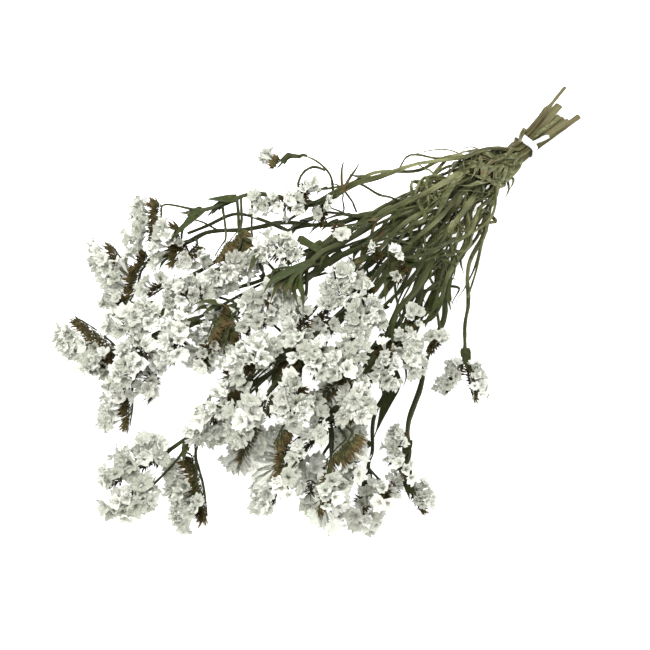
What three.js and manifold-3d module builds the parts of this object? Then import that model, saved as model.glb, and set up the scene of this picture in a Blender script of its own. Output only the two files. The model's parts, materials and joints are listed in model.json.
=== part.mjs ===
// A dried bunch of white statice, Limonium sinuatum, lying down. Nine cut sprigs are held side by side by a
// narrow tie, fan out from it towards -X and fork into short one-sided flower spikes. A spike has a green-brown
// husk of pointed bracts along its back and a crowded head of papery white calyces along its face.
//
// Units are millimetres and +Z is up. The origin is the middle of the tie's flat underside, which rests on the
// surface. The flowers lie towards -X and the cut ends towards +X.
import * as THREE from "three";
import { mergeVertices } from "three/addons/utils/BufferGeometryUtils.js";
import Module from "manifold-3d";

const wasm = await Module();
wasm.setup();

// ---- Driving dimensions ----
const CLEARANCE = 0.35; // air kept between two pieces that lie against each other

const TIE_WIDTH = 7; // along the stems
const TIE_WALL = 0.9;
const TIE_CORNER = 3.2; // outside corner radius of the flattened loop
const TIE_TAIL = [[0, -2, 11.6], [6, -4, 13.2], [12, -7, 15], [17, -10, 15.6]]; // where the loose end lies
const TIE_TAIL_WIDTH = 4.6;

const SLOT_PITCH = [4.7, 3.5]; // how the stems pack in the tie: across, up
const STEM_WING = 2.1; // half width of a main stem over its wings
const STEM_BODY = 1.25; // half thickness of a main stem
const STEM_STEP = 36; // a stem's rings are no further apart than this
const BRANCH_RADIUS = 1.1;
const TAIL_WIDTH = 1.3; // half width of a leafy tail
const TAIL_THICK = 0.45; // half its thickness

const HUSK_BACK = -1; // from the spike's axis, towards its back
const HUSK_MIDDLE = 5.4; // depth of the solid husk along its middle
const TOOTH = [6, 5.6]; // a bract's tip: half width, height
const NOTCH = [2.2, 2.8]; // the husk's edge between two bracts
const TOOTH_LEAN = 3; // how far a bract's tip leans along the spike
const TOOTH_PITCH = 9;

const HEAD_FOOT = 5; // from the spike's axis to the line that the calyces stand on
const CALYX_START = 1.4; // from that line to the point of a calyx's funnel
const CALYX_RIM = 15; // from that line to the rim
const CALYX_THROAT = 8; // from that line to the bottom of the open funnel
const CALYX_PITCH = 11; // spacing along the spike
const CALYX_ROW = 50; // degrees between the middle row and a side row
const CALYX_FAN = 48; // degrees that the ends of the head lean along the spike
const RIM_DIP = 0.84; // the rim between two of its points, as a share of their height
const RUFFLE = 0.09; // random share of the rim's height

const GREEN = { color: 0x6b7048, roughness: 0.85, metalness: 0 };
const WHITE = { color: 0xeeede0, roughness: 0.9, metalness: 0 };
const TIE_FINISH = { color: 0xf2f4f5, roughness: 0.35, metalness: 0 };

// ---- The bunch: where each stem runs, and where its spikes sit ----
// slot is the sprig's place in the tie, in columns across and rows up, and end is its cut end. stems[0] is the
// main stem, which runs outwards from the tie; a later stem forks off an earlier one, at `from`: its number and
// a place along its route (a whole number is a route point, a fraction lies between two). A spike leaves stem
// `on` at `at`, passes the points of via, and then follows its own axis from base to tip, with its calyces
// towards face; size is its scale, where that isn't 1. Tails are the narrow leaves at the forks, which start on
// a stem and pass their own points.
const SPRIGS = [
  {
    slot: [1, 1],
    end: [51, 10, 14],
    stems: [
      { route: [[-20, 5, 18], [-48, 8, 34], [-75, 13, 50], [-104, 21, 60], [-133, 29, 65], [-161, 38, 66], [-174, 56, 66], [-190, 73, 64], [-209, 86, 57]] },
      { from: [0, 1.3], route: [[-84, 19, 46], [-112, 31, 52], [-142, 43, 58], [-164, 50, 62]] },
    ],
    spikes: [
      { on: 0, at: 4.5, via: [[-144, 40, 76], [-148, 51, 85], [-155, 58, 88]], base: [-163, 61, 86], tip: [-168, 61, 84], face: [-0.9, 0.4, -0.3], size: 0.55 },
      { on: 0, at: 5, via: [], base: [-170, 37, 73], tip: [-187, 59, 73], face: [-0.5, -0.5, 0.7], size: 0.85 },
      { on: 0, at: 7, via: [[-201, 60, 64]], base: [-215, 45, 60], tip: [-233, 50, 55], face: [-0.95, -0.1, -0.1] },
      { on: 0, at: 8, via: [], base: [-220, 109, 50], tip: [-238, 96, 44], face: [-0.6, 0.75, 0.1] },
      { on: 0, at: 8, via: [], base: [-222, 89, 46], tip: [-238, 78, 38], face: [-0.9, 0.4, 0.1] },
    ],
    tails: [
      { on: 0, at: 0.6, via: [[-42, 13, 32], [-52, 12, 38], [-59, 6, 40]] },
      { on: 0, at: 1.2, via: [[-63, 16, 46], [-78, 21, 54], [-93, 23, 60], [-106, 22, 60]] },
      { on: 0, at: 4.3, via: [[-139, 35, 73], [-135, 38, 79], [-131, 38, 83]] },
      { on: 0, at: 4.3, via: [[-136, 31, 73], [-130, 31, 78], [-123, 33, 82]] },
      { on: 0, at: 4.3, via: [[-143, 35, 69], [-149, 39, 71], [-156, 43, 70]] },
    ],
  },
  {
    slot: [1, -1],
    end: [42, 7, 6],
    stems: [
      { route: [[-24, 6, 7], [-56, 5, 14], [-83, 6, 22], [-110, 15, 29], [-135, 27, 33], [-155, 40, 34], [-178, 62, 33], [-200, 82, 30], [-222, 92, 27]] },
      { from: [0, 3], route: [[-140, 38, 24], [-168, 54, 22], [-196, 66, 22], [-224, 72, 22]] },
      { from: [0, 1], route: [[-86, 14, 15], [-116, 28, 18], [-142, 43, 28], [-158, 47, 33]] },
    ],
    spikes: [
      { on: 0, at: 8, via: [[-238, 99, 22]], base: [-254, 109, 14], tip: [-248, 131, 12], face: [-0.75, 0.6, 0.3], size: 1.1 },
      { on: 0, at: 8, via: [[-236, 98, 24]], base: [-250, 99, 20], tip: [-270, 88, 18], face: [-0.7, 0.6, 0.1] },
      { on: 1, at: 3.9, via: [], base: [-238, 76, 22], tip: [-256, 72, 18], face: [-0.5, -0.3, -0.4] },
    ],
    tails: [
      { on: 0, at: 7, via: [[-206, 92, 36], [-212, 97, 38], [-218, 96, 38]] },
      { on: 0, at: 4, via: [[-142, 36, 40], [-150, 48, 42], [-160, 54, 42]] },
    ],
  },
  {
    slot: [0, 1],
    end: [38, 3, 12],
    stems: [
      { route: [[-21, 0, 17], [-62, -1, 38], [-105, -2, 60], [-148, -3, 78], [-182, -3, 87], [-205, -2, 89]] },
      { from: [0, 1.2], route: [[-93, 3, 46], [-117, 5, 52], [-137, 8, 57], [-157, 14, 60], [-180, 14, 64]] },
      { from: [0, 1.4], route: [[-98, -8, 54], [-128, -14, 66], [-160, -17, 76], [-184, -18, 82]] },
    ],
    spikes: [
      { on: 1, at: 4.8, via: [], base: [-196, 16, 71], tip: [-210, 30, 69], face: [-0.5, 0.2, 0.8] },
      { on: 0, at: 5, via: [], base: [-224, -4, 86], tip: [-239, 6, 82], face: [-0.85, 0, 0.3] },
      { on: 0, at: 5, via: [[-217, -14, 87]], base: [-227, -20, 86], tip: [-236, -34, 82], face: [-0.6, -0.2, 0.6] },
      { on: 2, at: 4, via: [], base: [-194, -18, 82], tip: [-211, -22, 82], face: [-0.2, -0.5, 0.8] },
    ],
    tails: [
      { on: 0, at: 1.4, via: [[-86, 6, 46], [-91, 10, 51], [-92, 12, 56]] },
      { on: 1, at: 0.2, via: [[-90, 5, 42], [-98, 7, 40], [-103, 6, 37]] },
      { on: 1, at: 3, via: [[-146, 14, 62], [-156, 20, 66], [-164, 20, 70]] },
    ],
  },
  {
    slot: [1, 0],
    end: [30, 8, 9],
    stems: [
      { route: [[-24, 4.5, 12], [-65, 1, 24], [-112, 2, 37], [-155, 4, 46], [-197, 10, 50], [-233, 22, 50], [-258, 34, 48], [-278, 45, 45]] },
      { from: [0, 1.3], route: [[-110, 8, 26], [-155, 18, 28], [-200, 30, 30], [-240, 42, 32], [-275, 50, 32]] },
      { from: [0, 1], route: [[-98, 11, 34], [-140, 19, 41], [-180, 23, 45], [-212, 29, 48], [-240, 38, 50]] },
    ],
    spikes: [
      { on: 1, at: 4.9, via: [[-288, 55, 29]], base: [-298, 61, 24], tip: [-299, 102, 17], face: [-0.95, -0.25, 0], size: 1.2 },
      { on: 1, at: 4.9, via: [[-290, 50, 28]], base: [-309, 40, 23], tip: [-326, 24, 17], face: [-0.9, 0.1, 0.1] },
      { on: 0, at: 6.5, via: [], base: [-280, 48, 54], tip: [-297, 62, 49], face: [-0.5, 0.2, 0.8] },
      { on: 0, at: 6, via: [], base: [-270, 33, 56], tip: [-288, 22, 52], face: [-0.4, 0.1, 0.9] },
      { on: 0, at: 7, via: [], base: [-290, 42, 49], tip: [-310, 34, 42], face: [-0.6, 0.1, 0.8] },
      { on: 1, at: 4.6, via: [[-280, 44, 32]], base: [-290, 38, 30], tip: [-306, 26, 25], face: [-0.7, -0.3, 0.3] },
      { on: 0, at: 5, via: [], base: [-245, 44, 50], tip: [-260, 54, 46], face: [-0.6, 0.4, 0.6] },
      { on: 0, at: 4.6, via: [[-238, 17, 60]], base: [-248, 14, 67], tip: [-266, 6, 63], face: [-0.85, 0.1, -0.45] },
      { on: 0, at: 5, via: [], base: [-252, 22, 38], tip: [-271, 22, 33], face: [-0.7, 0.2, -0.5] },
    ],
    tails: [
      { on: 0, at: 3.5, via: [[-178, 14, 42], [-186, 22, 40], [-196, 24, 42]] },
    ],
  },
  {
    slot: [0, -1],
    end: [36, -3, 5],
    stems: [
      { route: [[-24, 0.5, 6], [-71, -2, 10], [-130, -8, 15], [-186, -11, 20], [-235, -10, 24], [-275, -9, 28], [-304, -10, 29]] },
      { from: [0, 1.4], route: [[-130, 1, 24], [-170, 0, 30], [-210, -2, 34], [-250, -7, 38], [-275, -14, 42]] },
    ],
    spikes: [
      { on: 0, at: 6, via: [[-318, -9, 29]], base: [-329, -8, 28], tip: [-347, 2, 25], face: [-0.5, 0.3, 0.8] },
      { on: 0, at: 6, via: [[-322, -14, 25]], base: [-344, -14, 20], tip: [-365, -11, 16], face: [-0.6, -0.1, 0.7] },
      { on: 0, at: 6, via: [[-307, -14, 24]], base: [-312, -18, 19], tip: [-332, -49, 13], face: [-0.8, 0.5, 0.1], size: 1.1 },
      { on: 1, at: 4.9, via: [], base: [-288, -20, 44], tip: [-304, -10, 41], face: [-0.85, -0.2, 0.2] },
      { on: 0, at: 3.5, via: [], base: [-222, -4, 21], tip: [-242, 4, 20], face: [-0.4, 0.3, -0.8] },
      { on: 0, at: 4.5, via: [[-262, -18, 24]], base: [-276, -28, 22], tip: [-294, -37, 20], face: [-0.5, 0, -0.8] },
    ],
    tails: [],
  },
  {
    slot: [0, 0],
    end: [33, -1, 9],
    stems: [
      { route: [[-24, -0.5, 11], [-79, -10, 38], [-133, -22, 60], [-182, -32, 72], [-222, -38, 76], [-247, -40, 78]] },
      { from: [0, 1.2], route: [[-120, -14, 48], [-165, -22, 56], [-210, -25, 60], [-245, -26, 63]] },
      { from: [0, 1], route: [[-104, -20, 42], [-140, -31, 50], [-178, -41, 57], [-212, -44, 66], [-236, -43, 76]] },
    ],
    spikes: [
      { on: 0, at: 5, via: [], base: [-256, -26, 80], tip: [-274, -22, 76], face: [-0.4, 0.2, 0.85] },
      { on: 0, at: 5, via: [], base: [-260, -52, 80], tip: [-276, -62, 76], face: [-0.5, -0.2, 0.8] },
      { on: 0, at: 5, via: [[-268, -38, 74]], base: [-280, -42, 71], tip: [-297, -48, 65], face: [-0.7, 0, 0.65] },
      { on: 1, at: 3.9, via: [[-266, -28, 64]], base: [-283, -28, 63], tip: [-299, -22, 56], face: [-0.75, 0.2, 0.5] },
      { on: 0, at: 4.2, via: [], base: [-238, -43, 85], tip: [-250, -56, 85], face: [-0.1, 0, 1] },
    ],
    tails: [
      { on: 0, at: 2.4, via: [[-156, -20, 68], [-166, -14, 72], [-176, -14, 74]] },
    ],
  },
  {
    slot: [-1, 0],
    end: [27, -8, 10],
    stems: [
      { route: [[-27, -3.8, 9.6], [-86, -15, 25], [-125, -27, 35], [-158, -46, 40], [-190, -57, 44], [-226, -63, 48], [-250, -66, 50]] },
      { from: [0, 1.3], route: [[-125, -34, 28], [-151, -50, 29], [-172, -55, 30], [-196, -63, 29], [-215, -72, 27], [-234, -84, 21], [-248, -95, 15]] },
      { from: [0, 1], route: [[-112, -21, 23], [-150, -35, 25], [-188, -46, 30], [-216, -50, 38], [-236, -62, 46]] },
    ],
    spikes: [
      { on: 0, at: 6, via: [[-268, -66, 58]], base: [-279, -66, 60], tip: [-296, -74, 54], face: [-0.8, -0.1, -0.35] },
      { on: 0, at: 6, via: [[-262, -80, 58]], base: [-279, -93, 60], tip: [-296, -103, 55], face: [-0.7, -0.5, -0.4] },
      { on: 1, at: 6.9, via: [], base: [-258, -101, 9], tip: [-274, -109, 7], face: [-0.5, -0.6, 0.4] },
      { on: 0, at: 5.6, via: [[-254, -72, 38]], base: [-271, -75, 30], tip: [-287, -86, 25], face: [-0.6, -0.5, 0.4] },
      { on: 0, at: 6, via: [[-268, -62, 36]], base: [-282, -62, 26], tip: [-302, -71, 17], face: [-0.7, 0.1, 0.6] },
      { on: 0, at: 4.5, via: [], base: [-222, -48, 38], tip: [-242, -46, 30], face: [-0.3, 0.1, -0.9] },
      { on: 0, at: 4.7, via: [], base: [-244, -72, 42], tip: [-259, -85, 39], face: [-0.2, -0.4, 0.8] },
    ],
    tails: [
      { on: 1, at: 3, via: [[-182, -62, 24], [-190, -70, 22], [-200, -74, 22]] },
    ],
  },
  {
    slot: [-1, 1],
    end: [31, -10, 14],
    stems: [
      { route: [[-28, -4.5, 19], [-82, -19, 43], [-131, -37, 61], [-172, -51, 69], [-198, -58, 70], [-222, -66, 70]] },
      { from: [0, 0.1], route: [[-48, -14, 24], [-66, -22, 32], [-88, -31, 42], [-113, -38, 56], [-131, -38, 66], [-149, -36, 72], [-166, -36, 76]] },
      { from: [0, 1], route: [[-104, -36, 46], [-135, -52, 52], [-162, -62, 56], [-182, -60, 60]] },
    ],
    spikes: [
      { on: 1, at: 6.9, via: [[-182, -40, 76]], base: [-198, -44, 76], tip: [-215, -50, 76], face: [-0.2, -0.1, 0.95] },
      { on: 0, at: 4, via: [], base: [-206, -64, 68], tip: [-220, -76, 62], face: [-0.2, -0.6, 0.75] },
      { on: 0, at: 5, via: [], base: [-234, -72, 72], tip: [-250, -82, 70], face: [-0.4, -0.4, 0.8] },
      { on: 2, at: 4, via: [], base: [-190, -62, 60], tip: [-197, -78, 52], face: [-0.1, -0.7, 0.6] },
      { on: 0, at: 4.6, via: [[-218, -60, 76]], base: [-226, -58, 81], tip: [-241, -66, 80], face: [-0.2, 0.1, 0.9] },
      { on: 1, at: 6, via: [[-154, -34, 76]], base: [-158, -32, 79], tip: [-164, -31, 79], face: [-0.3, 0, 0.9], size: 0.5 },
    ],
    tails: [
      { on: 1, at: 4.4, via: [[-126, -46, 60], [-134, -54, 58], [-140, -56, 54]] },
    ],
  },
  {
    slot: [-1, -1],
    end: [45, -9, 5],
    stems: [
      { route: [[-30, -7, 6], [-46, -13, 10], [-63, -20, 15], [-90, -28, 18], [-118, -37, 18], [-139, -53, 17], [-169, -69, 18], [-192, -80, 18], [-216, -97, 17], [-228, -107, 16]] },
      { from: [0, 2], route: [[-86, -36, 20], [-109, -46, 20], [-127, -62, 18], [-147, -79, 14]] },
    ],
    spikes: [
      { on: 0, at: 9, via: [], base: [-237, -110, 14], tip: [-253, -115, 12], face: [-0.2, 0.1, 0.95], size: 0.75 },
      { on: 0, at: 9, via: [], base: [-235, -116, 10], tip: [-241, -132, 8], face: [0.2, -0.5, 0.6], size: 0.75 },
      { on: 1, at: 4, via: [], base: [-158, -86, 13], tip: [-175, -90, 10], face: [-0.5, 0.2, 0.6], size: 0.75 },
      { on: 1, at: 4, via: [], base: [-155, -89, 12], tip: [-166, -104, 9], face: [0.1, -0.5, 0.5], size: 0.75 },
      { on: 0, at: 8, via: [[-218, -90, 24]], base: [-221, -94, 27], tip: [-237, -102, 25], face: [-0.3, -0.1, 0.8], size: 0.75 },
    ],
    tails: [
      { on: 0, at: 0, via: [[-27, -13, 8], [-32, -16, 7], [-40, -17, 8]] },
      { on: 0, at: 2, via: [[-67, -26, 13], [-82, -34, 11], [-97, -42, 9], [-112, -47, 7], [-121, -49, 6], [-124, -53, 7]] },
    ],
  },
];

// ---- Small helpers ----
const vec = (p) => new THREE.Vector3(...p);
const radians = THREE.MathUtils.degToRad;

// The same sequence on every run.
function seeded(seed) {
  let state = (seed * 7919 + 17) >>> 0;
  return () => {
    state = (Math.imul(state, 1664525) + 1013904223) >>> 0;
    return state / 4294967296;
  };
}

function meshGeometry(positions, index) {
  return new THREE.BufferGeometry()
    .setAttribute("position", new THREE.BufferAttribute(new Float32Array(positions), 3))
    .setIndex(index);
}

function solidOf(geometry) {
  const bare = new THREE.BufferGeometry().setAttribute("position", geometry.getAttribute("position"));
  if (geometry.index) bare.setIndex(geometry.index);
  const merged = mergeVertices(bare, 1e-4);
  return new wasm.Manifold(
    new wasm.Mesh({
      numProp: 3,
      vertProperties: merged.attributes.position.array,
      triVerts: new Uint32Array(merged.index.array),
    }),
  );
}

function geometryOf(solid) {
  const mesh = solid.getMesh();
  return meshGeometry(mesh.vertProperties, new THREE.BufferAttribute(new Uint32Array(mesh.triVerts), 1));
}

const fuse = (solids) => solids.reduce((whole, piece) => whole.add(piece));

function boxesMeet(a, b) {
  const [p, q] = [a.boundingBox(), b.boundingBox()];
  return [0, 1, 2].every((k) => p.min[k] <= q.max[k] && q.min[k] <= p.max[k]);
}

const crosses = (solid, others) => others.some((other) => boxesMeet(solid, other) && !solid.intersect(other).isEmpty());

// A closed solid through rings of points. section(t, k) gives ring k's points as [across, outwards, along].
function loft(curve, rings, outwards, section) {
  const positions = [];
  const index = [];
  let sides = 0;
  for (let k = 0; k < rings.length; k += 1) {
    const t = rings[k];
    const centre = curve.getPoint(t);
    const along = curve.getTangent(t);
    const out = outwards.clone().addScaledVector(along, -outwards.dot(along)).normalize();
    const across = out.clone().cross(along);
    const ring = section(t, k);
    sides = ring.length;
    for (const [s, o, a = 0] of ring) {
      positions.push(...centre.clone().addScaledVector(across, s).addScaledVector(out, o).addScaledVector(along, a));
    }
  }
  for (let k = 0; k + 1 < rings.length; k += 1) {
    for (let i = 0; i < sides; i += 1) {
      const [a, b] = [k * sides + i, k * sides + ((i + 1) % sides)];
      index.push(a, b, b + sides, a, b + sides, a + sides);
    }
  }
  const last = (rings.length - 1) * sides;
  for (let i = 1; i + 1 < sides; i += 1) {
    index.push(0, i + 1, i, last, last + i, last + i + 1);
  }
  return meshGeometry(positions, index);
}

const evenly = (count) => Array.from({ length: count }, (_, k) => k / (count - 1));
const splineThrough = (points) => new THREE.CatmullRomCurve3(points, false, "centripetal");

// A ring at every point of the spline, and one between two points that are more than a step apart.
function ringsThrough({ points }, step) {
  const last = points.length - 1;
  return points.flatMap((point, k) => (k < last && point.distanceTo(points[k + 1]) > step ? [k / last, (k + 0.5) / last] : [k / last]));
}

// ---- Stems: flat, winged, and thinner towards the flowers ----
const SLOT_MIDDLE = TIE_WALL + CLEARANCE + STEM_BODY + SLOT_PITCH[1];
const UP = new THREE.Vector3(0, 0, 1);

// Each stem's spline, and how many of its points come before its route.
function stemCurves(sprig) {
  const [column, row] = sprig.slot;
  const [y, z] = [column * SLOT_PITCH[0], SLOT_MIDDLE + row * SLOT_PITCH[1]];
  const curves = [];
  for (const stem of sprig.stems) {
    const start = stem.from ? [placeOn(curves[stem.from[0]], stem.from[1])] : [sprig.end, [TIE_WIDTH, y, z], [-TIE_WIDTH, y, z]].map(vec);
    curves.push({ curve: splineThrough([...start, ...stem.route.map(vec)]), lead: stem.from ? 0 : start.length });
  }
  return curves;
}

// A place on a stem. On a fork, 0 is the fork itself and 1 is the first point of its route.
const placeOn = ({ curve, lead }, at) => curve.getPoint((lead + at) / (curve.points.length - 1));

function stemSolid({ curve, lead }) {
  const [wide, thin] = lead ? [1, 0.6] : [0.72, 0.5];
  return solidOf(
    loft(curve, ringsThrough(curve, STEM_STEP), UP, (t) => {
      const size = THREE.MathUtils.lerp(wide, thin, t);
      const [w, b] = [STEM_WING * size, STEM_BODY * size];
      if (!lead) return [[w, 0], [0, b], [-w, 0], [0, -b]];
      return [[w, 0], [0.45 * w, b], [-0.45 * w, b], [-w, 0], [-0.45 * w, -b], [0.45 * w, -b]];
    }),
  );
}

// ---- Spikes: a branch, and a husk of bracts along the back ----
const spikeAxis = (spike) => {
  const [base, tip, face] = [vec(spike.base), vec(spike.tip), vec(spike.face).normalize()];
  const bow = base.clone().lerp(tip, 0.5).addScaledVector(face, -0.07 * base.distanceTo(tip));
  return new THREE.QuadraticBezierCurve3(base, bow, tip);
};

function branch(curves, spike) {
  const axis = spikeAxis(spike);
  const curve = splineThrough([placeOn(curves[spike.on], spike.at), ...spike.via.map(vec), axis.getPointAt(0), axis.getPointAt(0.12)]);
  return solidOf(
    loft(curve, ringsThrough(curve, STEM_STEP), vec([0.1, 0.2, 1]), (t) => {
      const size = BRANCH_RADIUS * (1 - 0.25 * t);
      return [[size, -0.5 * size], [0, size], [-size, -0.5 * size]];
    }),
  );
}

function husk(spike) {
  const axis = spikeAxis(spike);
  const size = spike.size ?? 1;
  const teeth = Math.max(1, Math.round(axis.getLength() / (TOOTH_PITCH * size)));
  const rings = evenly(2 * teeth + 1);
  const last = rings.length - 1;
  return solidOf(
    loft(axis, rings, vec(spike.face), (t, k) => {
      if (k === 0 || k === last) return [[0.9, 0.2], [0, 1], [-0.9, 0.2], [0, -0.7]];
      const isTooth = k % 2 === 1;
      const [w, h] = isTooth ? TOOTH : NOTCH;
      const lean = isTooth ? TOOTH_LEAN : 0;
      return [[w, h, lean], [0, HUSK_MIDDLE, 0], [-w, h, lean], [0, HUSK_BACK, 0]].map((p) => p.map((x) => x * size));
    }),
  );
}

function tail(curves, { on, at, via }) {
  const curve = splineThrough([placeOn(curves[on], at), ...via.map(vec)]);
  return solidOf(
    loft(curve, ringsThrough(curve, STEM_STEP), UP, (t) => {
      const w = TAIL_WIDTH * (1 - 0.6 * t);
      return [[w, 0], [0, TAIL_THICK], [-w, 0], [0, -TAIL_THICK]];
    }),
  );
}

// ---- Heads: the calyces stand in a middle row and two side rows, like cells of a honeycomb ----
// A place on a head is x, in half pitches along it, and y, in thirds of the angle between two rows. Heights are
// those of a head of size 1.
function headFrame(spike) {
  const axis = spikeAxis(spike);
  const size = spike.size ?? 1;
  const columns = Math.max(2, Math.round((axis.getLength() / size + 14) / CALYX_PITCH));
  const face = vec(spike.face);
  return {
    columns,
    point(x, y, height) {
      const share = x / (2 * columns);
      const t = 0.1 + 0.8 * share;
      const along = axis.getTangentAt(t);
      const out = face.clone().addScaledVector(along, -face.dot(along)).normalize();
      const across = out.clone().cross(along);
      const [row, fan] = [radians((y / 3) * CALYX_ROW), radians((2 * share - 1) * CALYX_FAN)];
      return axis
        .getPointAt(t)
        .addScaledVector(out, size * (HEAD_FOOT + height * Math.cos(row) * Math.cos(fan)))
        .addScaledVector(across, size * height * Math.sin(row) * Math.cos(fan))
        .addScaledVector(along, size * height * Math.sin(fan));
    },
  };
}

const RIM = [[1, 1], [0, 2], [-1, 1], [-1, -1], [0, -2], [1, -1]];

function headCells(columns) {
  const cells = [];
  for (const row of [0, -1, 1]) {
    const count = row === 0 ? columns : columns - 1;
    for (let c = 0; c < count; c += 1) cells.push({ row, x: 2 * c + (row === 0 ? 1 : 2), y: 3 * row });
  }
  for (const cell of cells) {
    const corners = RIM.map(([dx, dy]) => [cell.x + dx, cell.y + dy]);
    cell.rim = corners.flatMap((a, i) => {
      const b = corners[(i + 1) % 6];
      return [{ at: a, isCorner: true }, { at: [(a[0] + b[0]) / 2, (a[1] + b[1]) / 2], isCorner: false }];
    });
  }
  return cells;
}

// A convex stand-in for one calyx, larger all round by grow.
function cellHull(frame, cell, size, grow) {
  const centre = frame.point(cell.x, cell.y, CALYX_RIM * size);
  const foot = frame.point(cell.x, cell.y, CALYX_START - grow);
  const rim = cell.rim.filter((p) => p.isCorner).map(({ at }) => {
    const p = frame.point(...at, (1 + RUFFLE) * CALYX_RIM * size + grow);
    return p.addScaledVector(p.clone().sub(centre).normalize(), grow);
  });
  return wasm.Manifold.hull([foot, ...rim].map((p) => p.toArray()));
}

// The closed mesh of a whole head. Neighbouring calyces share their rims, and their points share one net below.
function headSolid(frame, cells, random) {
  const positions = [];
  const index = [];
  const corners = new Map();
  const edges = new Set();
  const ruffles = new Map();
  const addPoint = (p) => positions.push(p.x, p.y, Math.max(p.z, 0)) / 3 - 1;
  for (const cell of cells) {
    for (const { at, isCorner } of cell.rim) {
      const key = at.join();
      if (!ruffles.has(key)) ruffles.set(key, 1 + RUFFLE * (2 * random() - 1));
      const entry = corners.get(key) ?? { at, isCorner, size: 1, cells: [] };
      entry.size = Math.min(entry.size, cell.size);
      entry.cells.push(cell);
      corners.set(key, entry);
    }
  }
  for (const [key, entry] of corners) {
    const height = CALYX_RIM * entry.size * ruffles.get(key) * (entry.isCorner ? 1 : RIM_DIP);
    entry.id = addPoint(frame.point(...entry.at, height));
  }
  for (const cell of cells) {
    cell.foot = addPoint(frame.point(cell.x, cell.y, CALYX_START));
    cell.throat = addPoint(frame.point(cell.x, cell.y, CALYX_THROAT * cell.size));
    cell.ids = cell.rim.map(({ at }) => corners.get(at.join()).id);
    cell.ids.forEach((id, i) => edges.add(`${id},${cell.ids[(i + 1) % 12]}`));
  }
  for (const cell of cells) {
    cell.ids.forEach((id, i) => {
      const next = cell.ids[(i + 1) % 12];
      index.push(cell.throat, id, next);
      if (!edges.has(`${next},${id}`)) index.push(cell.foot, next, id);
    });
  }
  for (const { id, isCorner, cells: around } of corners.values()) {
    if (!isCorner || around.length < 2) continue;
    // Cells follow each other round the corner, so the second is the one that shares the edge leaving the first.
    const leaving = (cell) => cell.ids[(cell.ids.indexOf(id) + 2) % 12];
    const entering = (cell) => cell.ids[(cell.ids.indexOf(id) + 10) % 12];
    const nextOf = (cell) => around.find((other) => other !== cell && entering(other) === leaving(cell));
    if (around.length === 3) {
      const [a, b] = [around[0], nextOf(around[0])];
      const c = nextOf(b);
      index.push(a.foot, b.foot, c.foot);
    } else {
      const a = nextOf(around[0]) ? around[0] : around[1];
      index.push(a.foot, nextOf(a).foot, id);
    }
  }
  return solidOf(meshGeometry(positions, index));
}

// The largest group of calyces that hang together.
function largestGroup(cells) {
  const meets = (a, b) => a.rim.filter((p) => !p.isCorner && b.rim.some((q) => q.at.join() === p.at.join())).length > 0;
  let rest = [...cells];
  let best = [];
  while (rest.length) {
    const group = [rest.shift()];
    for (const member of group) {
      for (const cell of rest.filter((other) => meets(member, other))) {
        group.push(cell);
        rest = rest.filter((other) => other !== cell);
      }
    }
    if (group.length > best.length) best = group;
  }
  return best;
}

// ---- The tie: a flattened loop round the nine stems, with one loose end lying back over the stalks ----
function tie() {
  const half = [1.5 * SLOT_PITCH[0] + 0.2 + TIE_WALL + CLEARANCE, SLOT_PITCH[1] + STEM_BODY + TIE_WALL + CLEARANCE];
  const outline = (inset, Path) => {
    const [w, h, r] = [half[0] - inset, half[1] - inset, TIE_CORNER - inset];
    const path = new Path();
    path.moveTo(-w + r, -h);
    path.lineTo(w - r, -h);
    path.absarc(w - r, -h + r, r, -Math.PI / 2, 0, false);
    path.absarc(w - r, h - r, r, 0, Math.PI / 2, false);
    path.absarc(-w + r, h - r, r, Math.PI / 2, Math.PI, false);
    path.absarc(-w + r, -h + r, r, Math.PI, 1.5 * Math.PI, false);
    return path;
  };
  const loop = outline(0, THREE.Shape);
  loop.holes.push(outline(TIE_WALL, THREE.Path));
  const band = new THREE.ExtrudeGeometry(loop, { depth: TIE_WIDTH, bevelEnabled: false, curveSegments: 3 });
  band.rotateX(Math.PI / 2).rotateZ(Math.PI / 2).translate(-TIE_WIDTH / 2, 0, half[1]);
  const [w, t] = [TIE_TAIL_WIDTH / 2, TIE_WALL / 2];
  const end = loft(splineThrough(TIE_TAIL.map(vec)), evenly(7), UP, () => [[w, -t], [w, t], [-w, t], [-w, -t]]);
  return solidOf(band).add(solidOf(end));
}

// ---- Building ----
const bunch = new THREE.Group();
const materials = {
  green: new THREE.MeshStandardMaterial(GREEN),
  white: new THREE.MeshStandardMaterial(WHITE),
  tie: new THREE.MeshStandardMaterial(TIE_FINISH),
};

function place(name, solid, material) {
  const mesh = new THREE.Mesh(geometryOf(solid), material);
  mesh.name = name;
  bunch.add(mesh);
}

place("tie_band", tie(), materials.tie);

const greens = SPRIGS.map((sprig) => {
  const curves = stemCurves(sprig);
  const pieces = [...curves.map(stemSolid), ...sprig.spikes.flatMap((spike) => [branch(curves, spike), husk(spike)])];
  return fuse([...pieces, ...sprig.tails.map((leaf) => tail(curves, leaf))]).trimByPlane([0, 0, 1], 0);
});
greens.forEach((solid, s) => place(`sprig_${s + 1}_stem`, solid, materials.green));

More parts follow.
